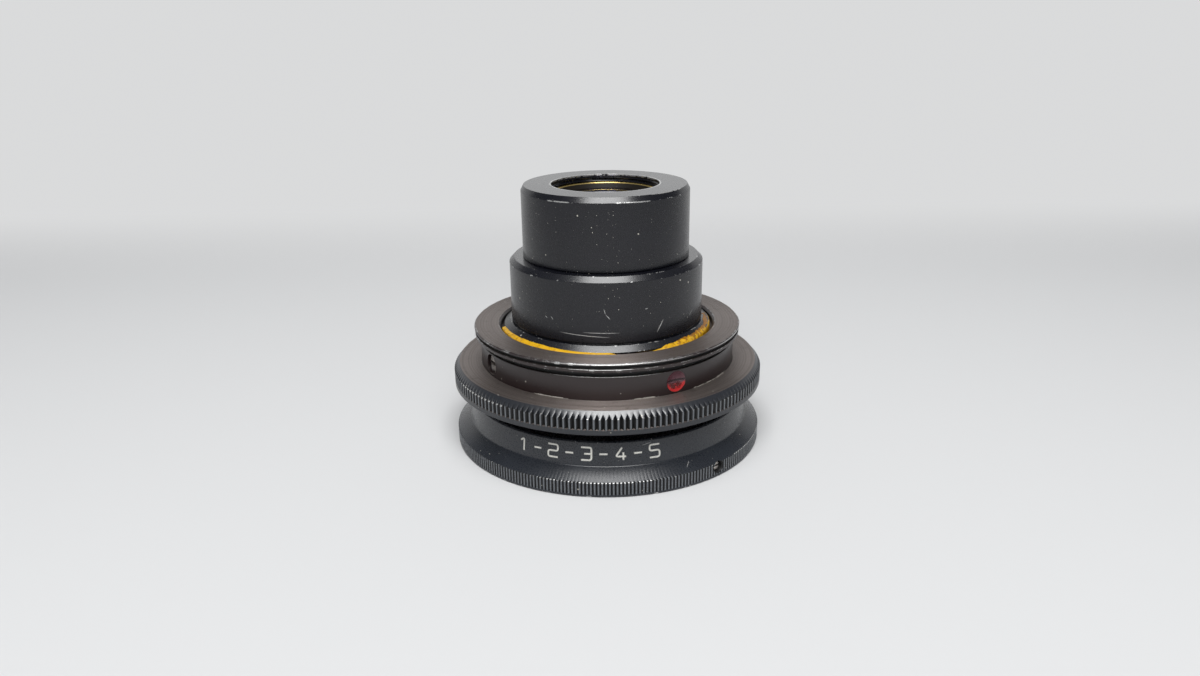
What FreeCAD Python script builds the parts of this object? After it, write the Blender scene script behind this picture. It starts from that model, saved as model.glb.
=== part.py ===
import FreeCAD, Part
import math
import os
import re
import Sketcher

# Macro lens in its camera-side adapter, standing on its front ring with the rear barrel up.
# Millimetres and degrees. +Z is the optical axis, towards the rear, and z = 0 is the foot of
# the front ring. The front of the object faces -Y. Glass, cells and rings are turned about Z.
# The adapter shell turns on its threaded insert when the clamp screws are slackened.

SIZES = {
    # Clearances: pieces that are screwed or seated together, the turning fit, cemented glass
    "seat_gap": 0.02,
    "running_gap": 0.08,
    "cement_gap": 0.01,

    # Front ring: knurled rim, cove and engraved band
    "ring_dia": 46.0,
    "name_ring_height": 6.95,
    "rim_height": 2.1,
    "rim_land_height": 0.35,
    "rim_foot_chamfer": 0.12,
    "rim_teeth": 286,
    "rim_gap_depth": 0.17,
    "rim_gap_width": 0.34,
    "cove_depth": 2.07,
    "cove_height": 3.55,
    "cove_round": 0.25,
    "band_taper": 0.43,
    "band_edge": 0.18,
    "name_ring_wall": 1.5,
    "name_screw_dia": 1.6,
    "name_screw_height": 1.45,
    "name_screw_length": 3.3,
    "name_screw_slot": 0.3,
    "name_screw_angle": -49,

    # Main barrel, from the front cup up to the second tier
    "cup_wall": 1.52,
    "cup_inset": 0.3,
    "cup_floor_height": 4.9,
    "shoulder_gap": 0.05,
    "mount_thread_dia": 30.5,
    "barrel_wall": 2.23,
    "mount_thread_length": 10.57,
    "lead_chamfer_width": 0.95,
    "lead_chamfer_height": 0.67,
    "relief_depth": 0.3,
    "relief_width": 0.3,
    "rear_tier_step": 1.15,
    "rear_tier_length": 9.11,
    "rear_tier_chamfer": 0.7,
    "rear_tier_wall": 2.38,
    "rear_bore_depth": 7.65,
    "web_thickness": 5.0,
    "web_land": 3.22,
    "stop_thickness": 0.4,
    "stop_hole_dia": 6.4,
    "stop_bevel": 0.3,

    # Front cell, its two glasses and the rings that hold them
    "front_cell_wall": 2.05,
    "front_cell_inset": 0.05,
    "front_glass_depth": 0.7,
    "front_glass_thickness": 3.4,
    "front_outer_radius": 34.0,
    "front_outer_back_radius": 80.0,
    "front_ledge": 1.15,
    "front_ring_width": 0.85,
    "front_ring_chamfer": 0.3,
    "spanner_slot_width": 1.0,
    "spanner_slot_depth": 0.6,
    "front_web_thickness": 1.3,
    "front_inner_step": 0.8,
    "front_inner_ledge": 1.0,
    "front_inner_thickness": 2.0,
    "front_inner_radius": 22.0,
    "front_inner_back_radius": 24.0,

    # Rear cell, its glasses and the rings that hold them
    "rear_cell_step": 2.0,
    "cell_tier_length": 10.25,
    "cell_foot_chamfer": 0.12,
    "cell_chamfer_width": 0.4,
    "cell_chamfer_height": 0.75,
    "rear_cell_wall": 4.33,
    "rear_ledge": 0.87,
    "rear_ring_depth": 1.15,
    "rear_ring_land": 0.4,
    "rear_ring_lip": 0.15,
    "rear_seat_depth": 4.9,
    "rear_glass_thickness": 3.6,
    "rear_glass_radius": 30.0,
    "rear_web_thickness": 2.2,
    "pair_ledge": 1.6,
    "crown_thickness": 4.5,
    "crown_radius": 24.0,
    "pair_radius": 20.0,
    "flint_thickness": 1.6,
    "flint_radius": 60.0,
    "rear_inner_ring_height": 2.2,
    "rear_inner_ring_width": 1.7,

    # Adapter: threaded insert, shell with its grooved flange and neck, knurled ring
    "adapter_lift": 1.97,
    "insert_wall": 1.7,
    "insert_groove_depth": 0.8,
    "lip_clearance": 0.5,
    "lip_bore_chamfer": 0.35,
    "lip_inner_height": 1.1,
    "grip_width": 4.14,
    "grip_height": 3.21,
    "grip_land_height": 0.77,
    "grip_top_width": 0.8,
    "grip_top_height": 0.92,
    "grip_foot_chamfer": 0.12,
    "grip_teeth": 180,
    "grip_gap_depth": 0.48,
    "grip_gap_width": 0.58,
    "shell_wall": 1.83,
    "neck_height": 3.32,
    "undercut_depth": 0.4,
    "undercut_height": 0.88,
    "flange_overhang": 0.85,
    "ridge_inset": 0.08,
    "ridge_height": 0.42,
    "flange_groove_depth": 0.4,
    "flange_groove_height": 0.47,
    "flange_lip_height": 0.38,
    "flange_chamfer": 0.15,

    # Clamp screws in the neck, a quarter turn apart, and the varnish over the index screw
    "clamp_screws": 4,
    "clamp_angle": -61,
    "clamp_rise": 1.67,
    "clamp_screw_dia": 3.0,
    "clamp_tip_dia": 0.5,
    "clamp_tip_gap": 0.1,
    "clamp_recess": 0.45,
    "clamp_slot_width": 0.5,
    "clamp_slot_depth": 0.6,
    "seal_dome": 0.12,

    # Adhesive bead between barrel and insert
    "bead_clearance": 0.14,
    "bead_start_angle": -152,
    "bead_span": 150,
    "bead_slope": 0.3,
}

doc = FreeCAD.newDocument("MacroLens")
sheet = doc.addObject("Spreadsheet::Sheet", "sizes")
for row, (size_name, number) in enumerate(SIZES.items(), start=1):
    sheet.set(f"A{row}", size_name)
    sheet.set(f"B{row}", str(number))
    sheet.setAlias(f"B{row}", size_name)
doc.recompute()

FULL_TURN = 360
LEAST_CUT = 1e-4
TOUCH = 1e-6

# Heights and radii that several pieces share, as formulas on the sizes
SHOULDER = "(name_ring_height + shoulder_gap)"
THREAD_TOP = f"({SHOULDER} + mount_thread_length)"
LEAD_TOP = f"({THREAD_TOP} + lead_chamfer_height)"
RELIEF_TOP = f"({LEAD_TOP} + relief_width)"
TIER_TOP = f"({RELIEF_TOP} + rear_tier_length)"
WEB_TOP = f"({TIER_TOP} - rear_bore_depth)"
WEB_FOOT = f"({WEB_TOP} - web_thickness)"
REAR_FACE = f"({TIER_TOP} + cell_tier_length)"

RING_R = "(ring_dia / 2)"
BAND_FOOT_R = f"({RING_R} - cove_depth)"
BAND_TOP_R = f"({BAND_FOOT_R} - band_taper)"
CUP_R = f"({BAND_TOP_R} - name_ring_wall)"
THREAD_R = "(mount_thread_dia / 2)"
TIER_R = f"({THREAD_R} - rear_tier_step)"
REAR_BORE = f"({TIER_R} - rear_tier_wall)"

ADAPTER_FOOT = f"({SHOULDER} + adapter_lift)"
GRIP_TOP = f"({ADAPTER_FOOT} + grip_height)"
NECK_TOP = f"({GRIP_TOP} + neck_height)"
RIDGE_FOOT = f"({NECK_TOP} + undercut_height)"
GROOVE_FOOT = f"({RIDGE_FOOT} + ridge_height)"
GROOVE_TOP = f"({GROOVE_FOOT} + flange_groove_height)"
FLANGE_TOP = f"({GROOVE_TOP} + flange_lip_height)"
LIP_FOOT = f"({FLANGE_TOP} - lip_inner_height)"
INSERT_TOP = f"({LIP_FOOT} - running_gap)"
CLAMP_HEIGHT = f"({GRIP_TOP} + clamp_rise)"
INSERT_R = f"({THREAD_R} + insert_wall)"
SHELL_BORE = f"({INSERT_R} + running_gap)"
NECK_R = f"({SHELL_BORE} + shell_wall)"
LIP_R = f"({THREAD_R} + lip_clearance)"

REAR_SEAT = f"({REAR_FACE} - rear_seat_depth)"
PAIR_SEAT = f"({REAR_SEAT} - rear_web_thickness)"
FRONT_FACE = "(cup_floor_height + front_cell_inset)"
FRONT_VERTEX = f"({FRONT_FACE} + front_glass_depth)"
CELL_BORE = f"({THREAD_R} - barrel_wall)"
FRONT_CELL_R = f"({CELL_BORE} - seat_gap)"
FRONT_GLASS_R = f"({FRONT_CELL_R} - front_cell_wall)"
FRONT_LIGHT_R = f"({FRONT_GLASS_R} - front_ledge)"
FRONT_INNER_R = f"({FRONT_LIGHT_R} - front_inner_step)"
FRONT_INNER_LIGHT_R = f"({FRONT_INNER_R} - front_inner_ledge)"

REAR_CELL_R = f"({TIER_R} - rear_cell_step)"
REAR_OPENING_R = f"({REAR_CELL_R} - rear_cell_wall)"
REAR_LIGHT_R = f"({REAR_OPENING_R} - rear_ledge)"
PAIR_R = f"({REAR_LIGHT_R} + pair_ledge)"


def in_sheet(formula):
    """Prefix each size name in a formula with the sheet that holds it."""
    return re.sub(r"\b(?!sqrt\b)[a-z][a-z_]+\b", lambda name: "sizes." + name.group(), formula)


def value(formula):
    """Number that a formula on the sizes comes to."""
    return float(sheet.evalExpression(in_sheet(formula)))


def sag(radius, edge):
    """Formula for the depth of a polished face of that radius, out to an edge that far from the axis."""
    return f"({radius} - sqrt({radius} ^ 2 - ({edge}) ^ 2))"


def new_body(name):
    """Empty body whose label names its file."""
    body = doc.addObject("PartDesign::Body", name)
    body.Label = name
    return body


def new_sketch(body, name, plane="XZ_Plane"):
    """Sketch on one of the body's own origin planes."""
    sketch = body.newObject("Sketcher::SketchObject", f"{body.Label}_{name}")
    support = next(part for part in body.Origin.OriginFeatures if part.Role == plane)
    sketch.AttachmentSupport = (support, [""])
    sketch.MapMode = "FlatFace"
    return sketch


def set_apart(sketch, kind, geometry, end, formula):
    """Hold a point at a distance from the sketch's origin, or on its axis when that is zero."""
    distance = value(formula)
    if distance == 0:
        axis = -2 if kind == "DistanceX" else -1
        sketch.addConstraint(Sketcher.Constraint("PointOnObject", geometry, end, axis))
        return
    index = sketch.addConstraint(Sketcher.Constraint(kind, -1, 1, geometry, end, distance))
    sketch.setExpression(f"Constraints[{index}]", in_sheet(formula))


def draw_outline(sketch, corners):
    """Closed outline through corners, each a pair of formulas: across and up."""
    points = [FreeCAD.Vector(value(across), value(up), 0) for across, up in corners]
    for start, end in zip(points, points[1:] + points[:1]):
        sketch.addGeometry(Part.LineSegment(start, end))
    for side, (across, up) in enumerate(corners):
        sketch.addConstraint(Sketcher.Constraint("Coincident", (side - 1) % len(corners), 2, side, 1))
        set_apart(sketch, "DistanceX", side, 1, across)
        set_apart(sketch, "DistanceY", side, 1, up)


def turned(name, corners, span=None):
    """Body turned about the optical axis from an outline of radius and height."""
    body = new_body(name)
    sketch = new_sketch(body, "outline")
    draw_outline(sketch, corners)
    revolution = body.newObject("PartDesign::Revolution", f"{name}_turning")
    revolution.Profile = sketch
    revolution.ReferenceAxis = (sketch, ["V_Axis"])
    revolution.Angle = FULL_TURN
    if span:
        revolution.setExpression("Angle", in_sheet(span))
    doc.recompute()
    return body


def turned_across(name, height, corners):
    """Body turned about a radial axis at a height, from distance along it and radius about it."""
    body = new_body(name)
    sketch = new_sketch(body, "outline")
    sketch.setExpression("AttachmentOffset.Base.y", in_sheet(height))
    draw_outline(sketch, corners)
    revolution = body.newObject("PartDesign::Revolution", f"{name}_turning")
    revolution.Profile = sketch
    revolution.ReferenceAxis = (sketch, ["H_Axis"])
    revolution.Angle = FULL_TURN
    doc.recompute()
    return body


def face_about(body, angle):
    """Turn a whole body about the optical axis, so that its +X side faces an angle."""
    turn = FreeCAD.Rotation(FreeCAD.Vector(0, 0, 1), value(angle))
    body.Placement = FreeCAD.Placement(FreeCAD.Vector(), turn)
    body.setExpression(".Placement.Rotation.Angle", in_sheet(angle))
    doc.recompute()


def must_cut(body, volume_before):
    """Stop the build when a cutting feature has taken nothing away."""
    doc.recompute()
    if body.Shape.Volume > volume_before - LEAST_CUT:
        raise ValueError(f"{body.Tip.Name} cuts nothing")


def cut_pocket(body, sketch, name, length, both_ways=False):
    """Pocket along the sketch's own normal, or evenly to both sides of it."""
    volume_before = body.Shape.Volume
    pocket = body.newObject("PartDesign::Pocket", name)
    pocket.Profile = sketch
    pocket.Type = "Length"
    pocket.setExpression("Length", in_sheet(length))
    pocket.Reversed = not both_ways
    pocket.Midplane = both_ways
    must_cut(body, volume_before)
    return pocket


def repeat_round(body, feature, count):
    """Repeat a feature evenly round the optical axis."""
    volume_before = body.Shape.Volume
    pattern = body.newObject("PartDesign::PolarPattern", f"{feature.Name}_round")
    pattern.Originals = [feature]
    axis = next(part for part in body.Origin.OriginFeatures if part.Role == "Z_Axis")
    pattern.Axis = (axis, [""])
    pattern.Angle = FULL_TURN
    pattern.setExpression("Occurrences", in_sheet(count))
    body.Tip = pattern
    must_cut(body, volume_before)


def radial_holes(body, height, dia, count=None):
    """Round hole from the bore out through the +X side, repeated round the axis."""
    sketch = new_sketch(body, "hole", "YZ_Plane")
    centre = FreeCAD.Vector(0, value(height), 0)
    sketch.addGeometry(Part.Circle(centre, FreeCAD.Vector(0, 0, 1), value(dia) / 2))
    sketch.addConstraint(Sketcher.Constraint("PointOnObject", 0, 3, -2))
    set_apart(sketch, "DistanceY", 0, 3, height)
    index = sketch.addConstraint(Sketcher.Constraint("Diameter", 0, value(dia)))
    sketch.setExpression(f"Constraints[{index}]", in_sheet(dia))
    hole = cut_pocket(body, sketch, f"{body.Label}_drilling", "ring_dia")
    if count:
        repeat_round(body, hole, count)


def screw_slot(body, height, end, width, depth):
    """Straight driver slot across the outer end of a radial screw."""
    sketch = new_sketch(body, "slot")
    sketch.setExpression("AttachmentOffset.Base.y", in_sheet(height))
    beyond = f"{end} + {depth}"
    draw_outline(sketch, [
        (f"{end} - {depth}", f"0 - {width} / 2"),
        (beyond, f"0 - {width} / 2"),
        (beyond, f"{width} / 2"),
        (f"{end} - {depth}", f"{width} / 2"),
    ])
    cut_pocket(body, sketch, f"{body.Label}_slotting", "ring_dia", both_ways=True)


def straight_knurl(body, crest, depth, width, foot, count):
    """V-grooves along the axis, all round a rim of that radius, from a foot height upwards."""
    sketch = new_sketch(body, "tooth_gap", "XY_Plane")
    sketch.setExpression("AttachmentOffset.Base.z", in_sheet(foot))
    draw_outline(sketch, [
        (f"{crest} - {depth}", "0"),
        (f"{crest} + {depth}", f"0 - {width}"),
        (f"{crest} + {depth}", width),
    ])
    gap = cut_pocket(body, sketch, f"{body.Label}_tooth_gap_cut", "ring_dia")
    repeat_round(body, gap, count)


def round_corner(body, radius_formula, height, size):
    """Fillet the circular edges at a radius and height."""
    radius, level = value(radius_formula), value(height)
    base = body.Tip
    names = [
        f"Edge{number}"
        for number, edge in enumerate(base.Shape.Edges, start=1)
        if isinstance(edge.Curve, Part.Circle)
        and abs(edge.Curve.Radius - radius) < TOUCH
        and abs(edge.Curve.Center.z - level) < TOUCH
    ]
    fillet = body.newObject("PartDesign::Fillet", f"{body.Label}_round")
    fillet.Base = (base, names)
    fillet.setExpression("Radius", in_sheet(size))
    doc.recompute()


def polished_arc(vertex, radius, centre_above, edge_r):
    """Arc of a polished face from its vertex on the axis to the edge of the glass."""
    half = math.asin(edge_r / radius)
    if centre_above:
        centre, start, end = vertex + radius, -math.pi / 2, half - math.pi / 2
    else:
        centre, start, end = vertex - radius, math.pi / 2 - half, math.pi / 2
    circle = Part.Circle(FreeCAD.Vector(0, centre, 0), FreeCAD.Vector(0, 0, 1), radius)
    return Part.ArcOfCircle(circle, start, end)


def glass(name, edge_r, lower, upper):
    """Round glass. Each face is (vertex height, radius, whether its centre lies above it)."""
    body = new_body(name)
    sketch = new_sketch(body, "outline")
    edge = value(edge_r)
    sketch.addGeometry(Part.LineSegment(
        FreeCAD.Vector(0, value(lower[0]), 0),
        FreeCAD.Vector(0, value(upper[0]), 0)))
    arcs = []
    for vertex, radius, centre_above in (lower, upper):
        arc = polished_arc(value(vertex), value(radius), centre_above, edge)
        number = sketch.addGeometry(arc)
        arcs.append((number, 1 if centre_above else 2, arc))
    rims = [arc.EndPoint if at_vertex == 1 else arc.StartPoint for _, at_vertex, arc in arcs]
    side = sketch.addGeometry(Part.LineSegment(rims[0], rims[1]))
    for end, (face, (number, at_vertex, _)) in enumerate(zip((lower, upper), arcs), start=1):
        sketch.addConstraint(Sketcher.Constraint("Coincident", 0, end, number, at_vertex))
        sketch.addConstraint(Sketcher.Constraint("Coincident", side, end, number, 3 - at_vertex))
        sketch.addConstraint(Sketcher.Constraint("PointOnObject", 0, end, -2))
        sketch.addConstraint(Sketcher.Constraint("PointOnObject", number, 3, -2))
        set_apart(sketch, "DistanceY", 0, end, face[0])
        index = sketch.addConstraint(Sketcher.Constraint("Radius", number, value(face[1])))
        sketch.setExpression(f"Constraints[{index}]", in_sheet(face[1]))
        set_apart(sketch, "DistanceX", side, end, edge_r)
    revolution = body.newObject("PartDesign::Revolution", f"{name}_grinding")
    revolution.Profile = sketch
    revolution.ReferenceAxis = (sketch, ["V_Axis"])
    revolution.Angle = FULL_TURN
    doc.recompute()
    return body


def draw_cap(sketch, edge_r, foot, vertex, radius):
    """Half section of a spherical cap on a flat foot."""
    arc = polished_arc(value(vertex), value(radius), False, value(edge_r))
    low = FreeCAD.Vector(0, value(foot), 0)
    sketch.addGeometry(Part.LineSegment(arc.EndPoint, low))
    sketch.addGeometry(Part.LineSegment(low, arc.StartPoint))
    sketch.addGeometry(arc)
    sketch.addConstraint(Sketcher.Constraint("Coincident", 0, 2, 1, 1))
    sketch.addConstraint(Sketcher.Constraint("Coincident", 1, 2, 2, 1))
    sketch.addConstraint(Sketcher.Constraint("Coincident", 2, 2, 0, 1))
    sketch.addConstraint(Sketcher.Constraint("PointOnObject", 0, 1, -2))
    sketch.addConstraint(Sketcher.Constraint("PointOnObject", 0, 2, -2))
    sketch.addConstraint(Sketcher.Constraint("PointOnObject", 2, 3, -2))
    sketch.addConstraint(Sketcher.Constraint("Horizontal", 1))
    set_apart(sketch, "DistanceY", 0, 2, foot)
    set_apart(sketch, "DistanceX", 1, 2, edge_r)
    index = sketch.addConstraint(Sketcher.Constraint("Radius", 2, value(radius)))
    sketch.setExpression(f"Constraints[{index}]", in_sheet(radius))


def make_name_ring():
    """Front ring: fine-knurled rim, cove and conical band, locked by one grub screw."""
    bore = f"{CUP_R} + seat_gap"
    body = turned("name_ring", [
        (bore, "0"),
        (f"{RING_R} - rim_foot_chamfer", "0"),
        (RING_R, "rim_foot_chamfer"),
        (RING_R, "rim_height"),
        (BAND_FOOT_R, "cove_height"),
        (BAND_TOP_R, "name_ring_height - band_edge"),
        (f"{BAND_TOP_R} - band_edge", "name_ring_height"),
        (bore, "name_ring_height"),
    ])
    round_corner(body, BAND_FOOT_R, "cove_height", "cove_round")
    radial_holes(body, "name_screw_height", "name_screw_dia")
    straight_knurl(body, RING_R, "rim_gap_depth", "rim_gap_width", "rim_land_height", "rim_teeth")
    face_about(body, "name_screw_angle")


def make_name_ring_screw():
    """Grub screw that locks the front ring on the barrel's cup."""
    tip = f"{CUP_R} + seat_gap"
    end = f"{tip} + name_screw_length"
    shank = "name_screw_dia / 2 - seat_gap"
    body = turned_across("name_ring_screw", "name_screw_height", [
        (tip, "0"),
        (tip, f"{shank} - name_screw_slot"),
        (f"{tip} + name_screw_slot", shank),
        (end, shank),
        (end, "0"),
    ])
    screw_slot(body, "name_screw_height", f"({end})", "name_screw_slot", "name_screw_slot")
    face_about(body, "name_screw_angle")


def make_main_barrel():
    """One turned barrel: front cup, mount thread, relief groove and second tier."""
    cup_bore = f"{CUP_R} - cup_wall"
    relief_r = f"{TIER_R} - relief_depth"
    web_bore = f"{REAR_BORE} - web_land"
    turned("main_barrel", [
        (CELL_BORE, "cup_floor_height"),
        (cup_bore, "cup_floor_height"),
        (cup_bore, "cup_inset"),
        (CUP_R, "cup_inset"),
        (CUP_R, SHOULDER),
        (THREAD_R, SHOULDER),
        (THREAD_R, THREAD_TOP),
        (f"{THREAD_R} - lead_chamfer_width", LEAD_TOP),
        (relief_r, LEAD_TOP),
        (relief_r, RELIEF_TOP),
        (TIER_R, RELIEF_TOP),
        (TIER_R, f"{TIER_TOP} - rear_tier_chamfer"),
        (f"{TIER_R} - rear_tier_chamfer", TIER_TOP),
        (REAR_BORE, TIER_TOP),
        (REAR_BORE, WEB_TOP),
        (web_bore, WEB_TOP),
        (web_bore, WEB_FOOT),
        (CELL_BORE, WEB_FOOT),
    ])


def make_aperture_stop():
    """Fixed stop: a thin disc with a bevelled hole, pressed on the web by the rear cell."""
    edge = f"{REAR_BORE} - seat_gap"
    top = f"{WEB_TOP} + stop_thickness"
    turned("aperture_stop", [
        ("stop_hole_dia / 2", WEB_TOP),
        (edge, WEB_TOP),
        (edge, top),
        ("stop_hole_dia / 2 + stop_bevel", top),
        ("stop_hole_dia / 2", f"{top} - stop_bevel"),
    ])


def make_front_group():
    """Front cell with its outer and inner glasses and the two rings that hold them."""
    outer_back = f"({FRONT_VERTEX} + front_glass_thickness)"
    outer_seat = f"({outer_back} + {sag('front_outer_back_radius', FRONT_GLASS_R)} + seat_gap)"
    inner_seat = f"({outer_seat} + front_web_thickness)"
    inner_vertex = f"({inner_seat} - {sag('front_inner_radius', FRONT_INNER_LIGHT_R)} + seat_gap)"
    inner_back = f"({inner_vertex} + front_inner_thickness)"
    inner_edge = f"({inner_back} + {sag('front_inner_back_radius', FRONT_INNER_R)})"
    cell_top = f"{WEB_FOOT} - seat_gap"
    glass_bore = f"{FRONT_GLASS_R} + seat_gap"
    inner_bore = f"{FRONT_INNER_R} + seat_gap"
    turned("front_cell", [
        (glass_bore, FRONT_FACE),
        (FRONT_CELL_R, FRONT_FACE),
        (FRONT_CELL_R, cell_top),
        (inner_bore, cell_top),
        (inner_bore, inner_seat),
        (FRONT_INNER_LIGHT_R, inner_seat),
        (FRONT_INNER_LIGHT_R, f"({outer_seat} + {inner_seat}) / 2"),
        (FRONT_LIGHT_R, outer_seat),
        (glass_bore, outer_seat),
    ])
    glass("front_element_outer", FRONT_GLASS_R,
          (FRONT_VERTEX, "front_outer_radius", True),
          (outer_back, "front_outer_back_radius", True))
    glass("front_element_inner", FRONT_INNER_R,
          (inner_vertex, "front_inner_radius", True),
          (inner_back, "front_inner_back_radius", True))
    turned("front_inner_ring", [
        (FRONT_INNER_LIGHT_R, f"{inner_edge} + seat_gap"),
        (FRONT_INNER_R, f"{inner_edge} + seat_gap"),
        (FRONT_INNER_R, cell_top),
        (FRONT_INNER_LIGHT_R, cell_top),
    ])
    light_r = f"({FRONT_GLASS_R} - front_ring_width)"
    glass_touch = f"{FRONT_VERTEX} + {sag('front_outer_radius', light_r)} - seat_gap"
    ring = turned("front_retaining_ring", [
        (f"{light_r} + front_ring_chamfer", FRONT_FACE),
        (FRONT_GLASS_R, FRONT_FACE),
        (FRONT_GLASS_R, glass_touch),
        (light_r, glass_touch),
        (light_r, f"{FRONT_FACE} + front_ring_chamfer"),
    ])
    sketch = new_sketch(ring, "spanner_slot", "YZ_Plane")
    draw_outline(sketch, [
        ("0 - spanner_slot_width / 2", f"{FRONT_FACE} - spanner_slot_depth"),
        ("spanner_slot_width / 2", f"{FRONT_FACE} - spanner_slot_depth"),
        ("spanner_slot_width / 2", f"{FRONT_FACE} + spanner_slot_depth"),
        ("0 - spanner_slot_width / 2", f"{FRONT_FACE} + spanner_slot_depth"),
    ])
    cut_pocket(ring, sketch, "front_ring_spanner_slots", "ring_dia", both_ways=True)


def make_rear_group():
    """Rear cell with its outer glass, its cemented pair and the rings that hold them."""
    cell_foot = f"{WEB_TOP} + stop_thickness + seat_gap"
    spigot_r = f"{REAR_BORE} - seat_gap"
    shoulder = f"{TIER_TOP} + seat_gap"
    pair_bore = f"{PAIR_R} + seat_gap"
    turned("rear_cell", [
        (pair_bore, cell_foot),
        (spigot_r, cell_foot),
        (spigot_r, shoulder),
        (f"{REAR_CELL_R} - cell_foot_chamfer", shoulder),
        (REAR_CELL_R, f"{shoulder} + cell_foot_chamfer"),
        (REAR_CELL_R, f"{REAR_FACE} - cell_chamfer_height"),
        (f"{REAR_CELL_R} - cell_chamfer_width", REAR_FACE),
        (REAR_OPENING_R, REAR_FACE),
        (REAR_OPENING_R, REAR_SEAT),
        (REAR_LIGHT_R, REAR_SEAT),
        (REAR_LIGHT_R, PAIR_SEAT),
        (pair_bore, PAIR_SEAT),
    ])

    glass_foot = f"({REAR_SEAT} + seat_gap)"
    vertex = f"({glass_foot} + rear_glass_thickness)"
    edge_r = f"{REAR_OPENING_R} - seat_gap"
    edge_top = f"{vertex} - {sag('rear_glass_radius', edge_r)}"
    body = turned("rear_element_outer", [
        ("0", glass_foot),
        (edge_r, glass_foot),
        (edge_r, edge_top),
        ("0", edge_top),
    ])
    cap = new_sketch(body, "cap")
    draw_cap(cap, edge_r, edge_top, vertex, "rear_glass_radius")
    crown = body.newObject("PartDesign::Revolution", "rear_element_outer_crown")
    crown.Profile = cap
    crown.ReferenceAxis = (cap, ["V_Axis"])
    crown.Angle = FULL_TURN

    ring_foot = f"({vertex} - {sag('rear_glass_radius', REAR_LIGHT_R)} + seat_gap)"
    ring_top = f"({REAR_FACE} - rear_ring_depth)"
    turned("rear_retaining_ring", [
        (REAR_LIGHT_R, ring_foot),
        (edge_r, ring_foot),
        (edge_r, ring_top),
        (f"{edge_r} - rear_ring_land", ring_top),
        (REAR_LIGHT_R, f"{ring_foot} + rear_ring_lip"),
    ])

    crown_top = f"({PAIR_SEAT} + {sag('crown_radius', REAR_LIGHT_R)} - seat_gap)"
    joint_vertex = f"({crown_top} - crown_thickness)"
    flint_foot = f"({joint_vertex} - flint_thickness)"
    glass("rear_crown_element", PAIR_R,
          (joint_vertex, "pair_radius", True),
          (crown_top, "crown_radius", False))
    glass("rear_flint_element", PAIR_R,
          (flint_foot, "flint_radius", False),
          (f"{joint_vertex} - cement_gap", "pair_radius", True))
    inner_ring_r = f"{PAIR_R} - rear_inner_ring_width"
    inner_ring_top = f"{flint_foot} - {sag('flint_radius', PAIR_R)} - seat_gap"
    turned("rear_inner_ring", [
        (inner_ring_r, f"{inner_ring_top} - rear_inner_ring_height"),
        (PAIR_R, f"{inner_ring_top} - rear_inner_ring_height"),
        (PAIR_R, inner_ring_top),
        (inner_ring_r, inner_ring_top),
    ])


def make_threaded_insert():
    """Inner ring of the adapter, screwed on the barrel, with a V-groove for the clamp screws."""
    bore = f"{THREAD_R} + seat_gap"
    turned("threaded_insert", [
        (bore, f"{SHOULDER} + seat_gap"),
        (INSERT_R, f"{SHOULDER} + seat_gap"),
        (INSERT_R, f"{CLAMP_HEIGHT} - insert_groove_depth"),
        (f"{INSERT_R} - insert_groove_depth", CLAMP_HEIGHT),
        (INSERT_R, f"{CLAMP_HEIGHT} + insert_groove_depth"),
        (INSERT_R, INSERT_TOP),
        (bore, INSERT_TOP),
    ])


def make_mount_shell():
    """Adapter shell: neck that carries the knurled ring, undercut and grooved flange."""
    flange_r = f"{NECK_R} + flange_overhang"
    body = turned("mount_shell", [
        (SHELL_BORE, ADAPTER_FOOT),
        (NECK_R, ADAPTER_FOOT),
        (NECK_R, NECK_TOP),
        (f"{NECK_R} - undercut_depth", NECK_TOP),
        (f"{NECK_R} - undercut_depth", RIDGE_FOOT),
        (f"{flange_r} - ridge_inset", RIDGE_FOOT),
        (f"{flange_r} - ridge_inset", GROOVE_FOOT),
        (f"{flange_r} - flange_groove_depth", GROOVE_FOOT),
        (f"{flange_r} - flange_groove_depth", GROOVE_TOP),
        (flange_r, GROOVE_TOP),
        (flange_r, f"{FLANGE_TOP} - flange_chamfer"),
        (f"{flange_r} - flange_chamfer", FLANGE_TOP),
        (f"{LIP_R} + lip_bore_chamfer", FLANGE_TOP),
        (LIP_R, f"{FLANGE_TOP} - lip_bore_chamfer"),
        (LIP_R, LIP_FOOT),
        (SHELL_BORE, LIP_FOOT),
    ])
    radial_holes(body, CLAMP_HEIGHT, "clamp_screw_dia", "clamp_screws")
    face_about(body, "clamp_angle")


def make_knurled_ring():
    """Grip ring pressed on the foot of the shell's neck, with a coarse straight knurl."""
    bore = f"{NECK_R} + seat_gap"
    crest_r = f"({NECK_R} + grip_width)"
    gap_foot = f"{ADAPTER_FOOT} + grip_land_height"
    body = turned("knurled_ring", [
        (bore, ADAPTER_FOOT),
        (f"{crest_r} - grip_foot_chamfer", ADAPTER_FOOT),
        (crest_r, f"{ADAPTER_FOOT} + grip_foot_chamfer"),
        (crest_r, f"{GRIP_TOP} - grip_top_height"),
        (f"{crest_r} - grip_top_width", GRIP_TOP),
        (bore, GRIP_TOP),
    ])
    straight_knurl(body, crest_r, "grip_gap_depth", "grip_gap_width", gap_foot, "grip_teeth")


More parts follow.
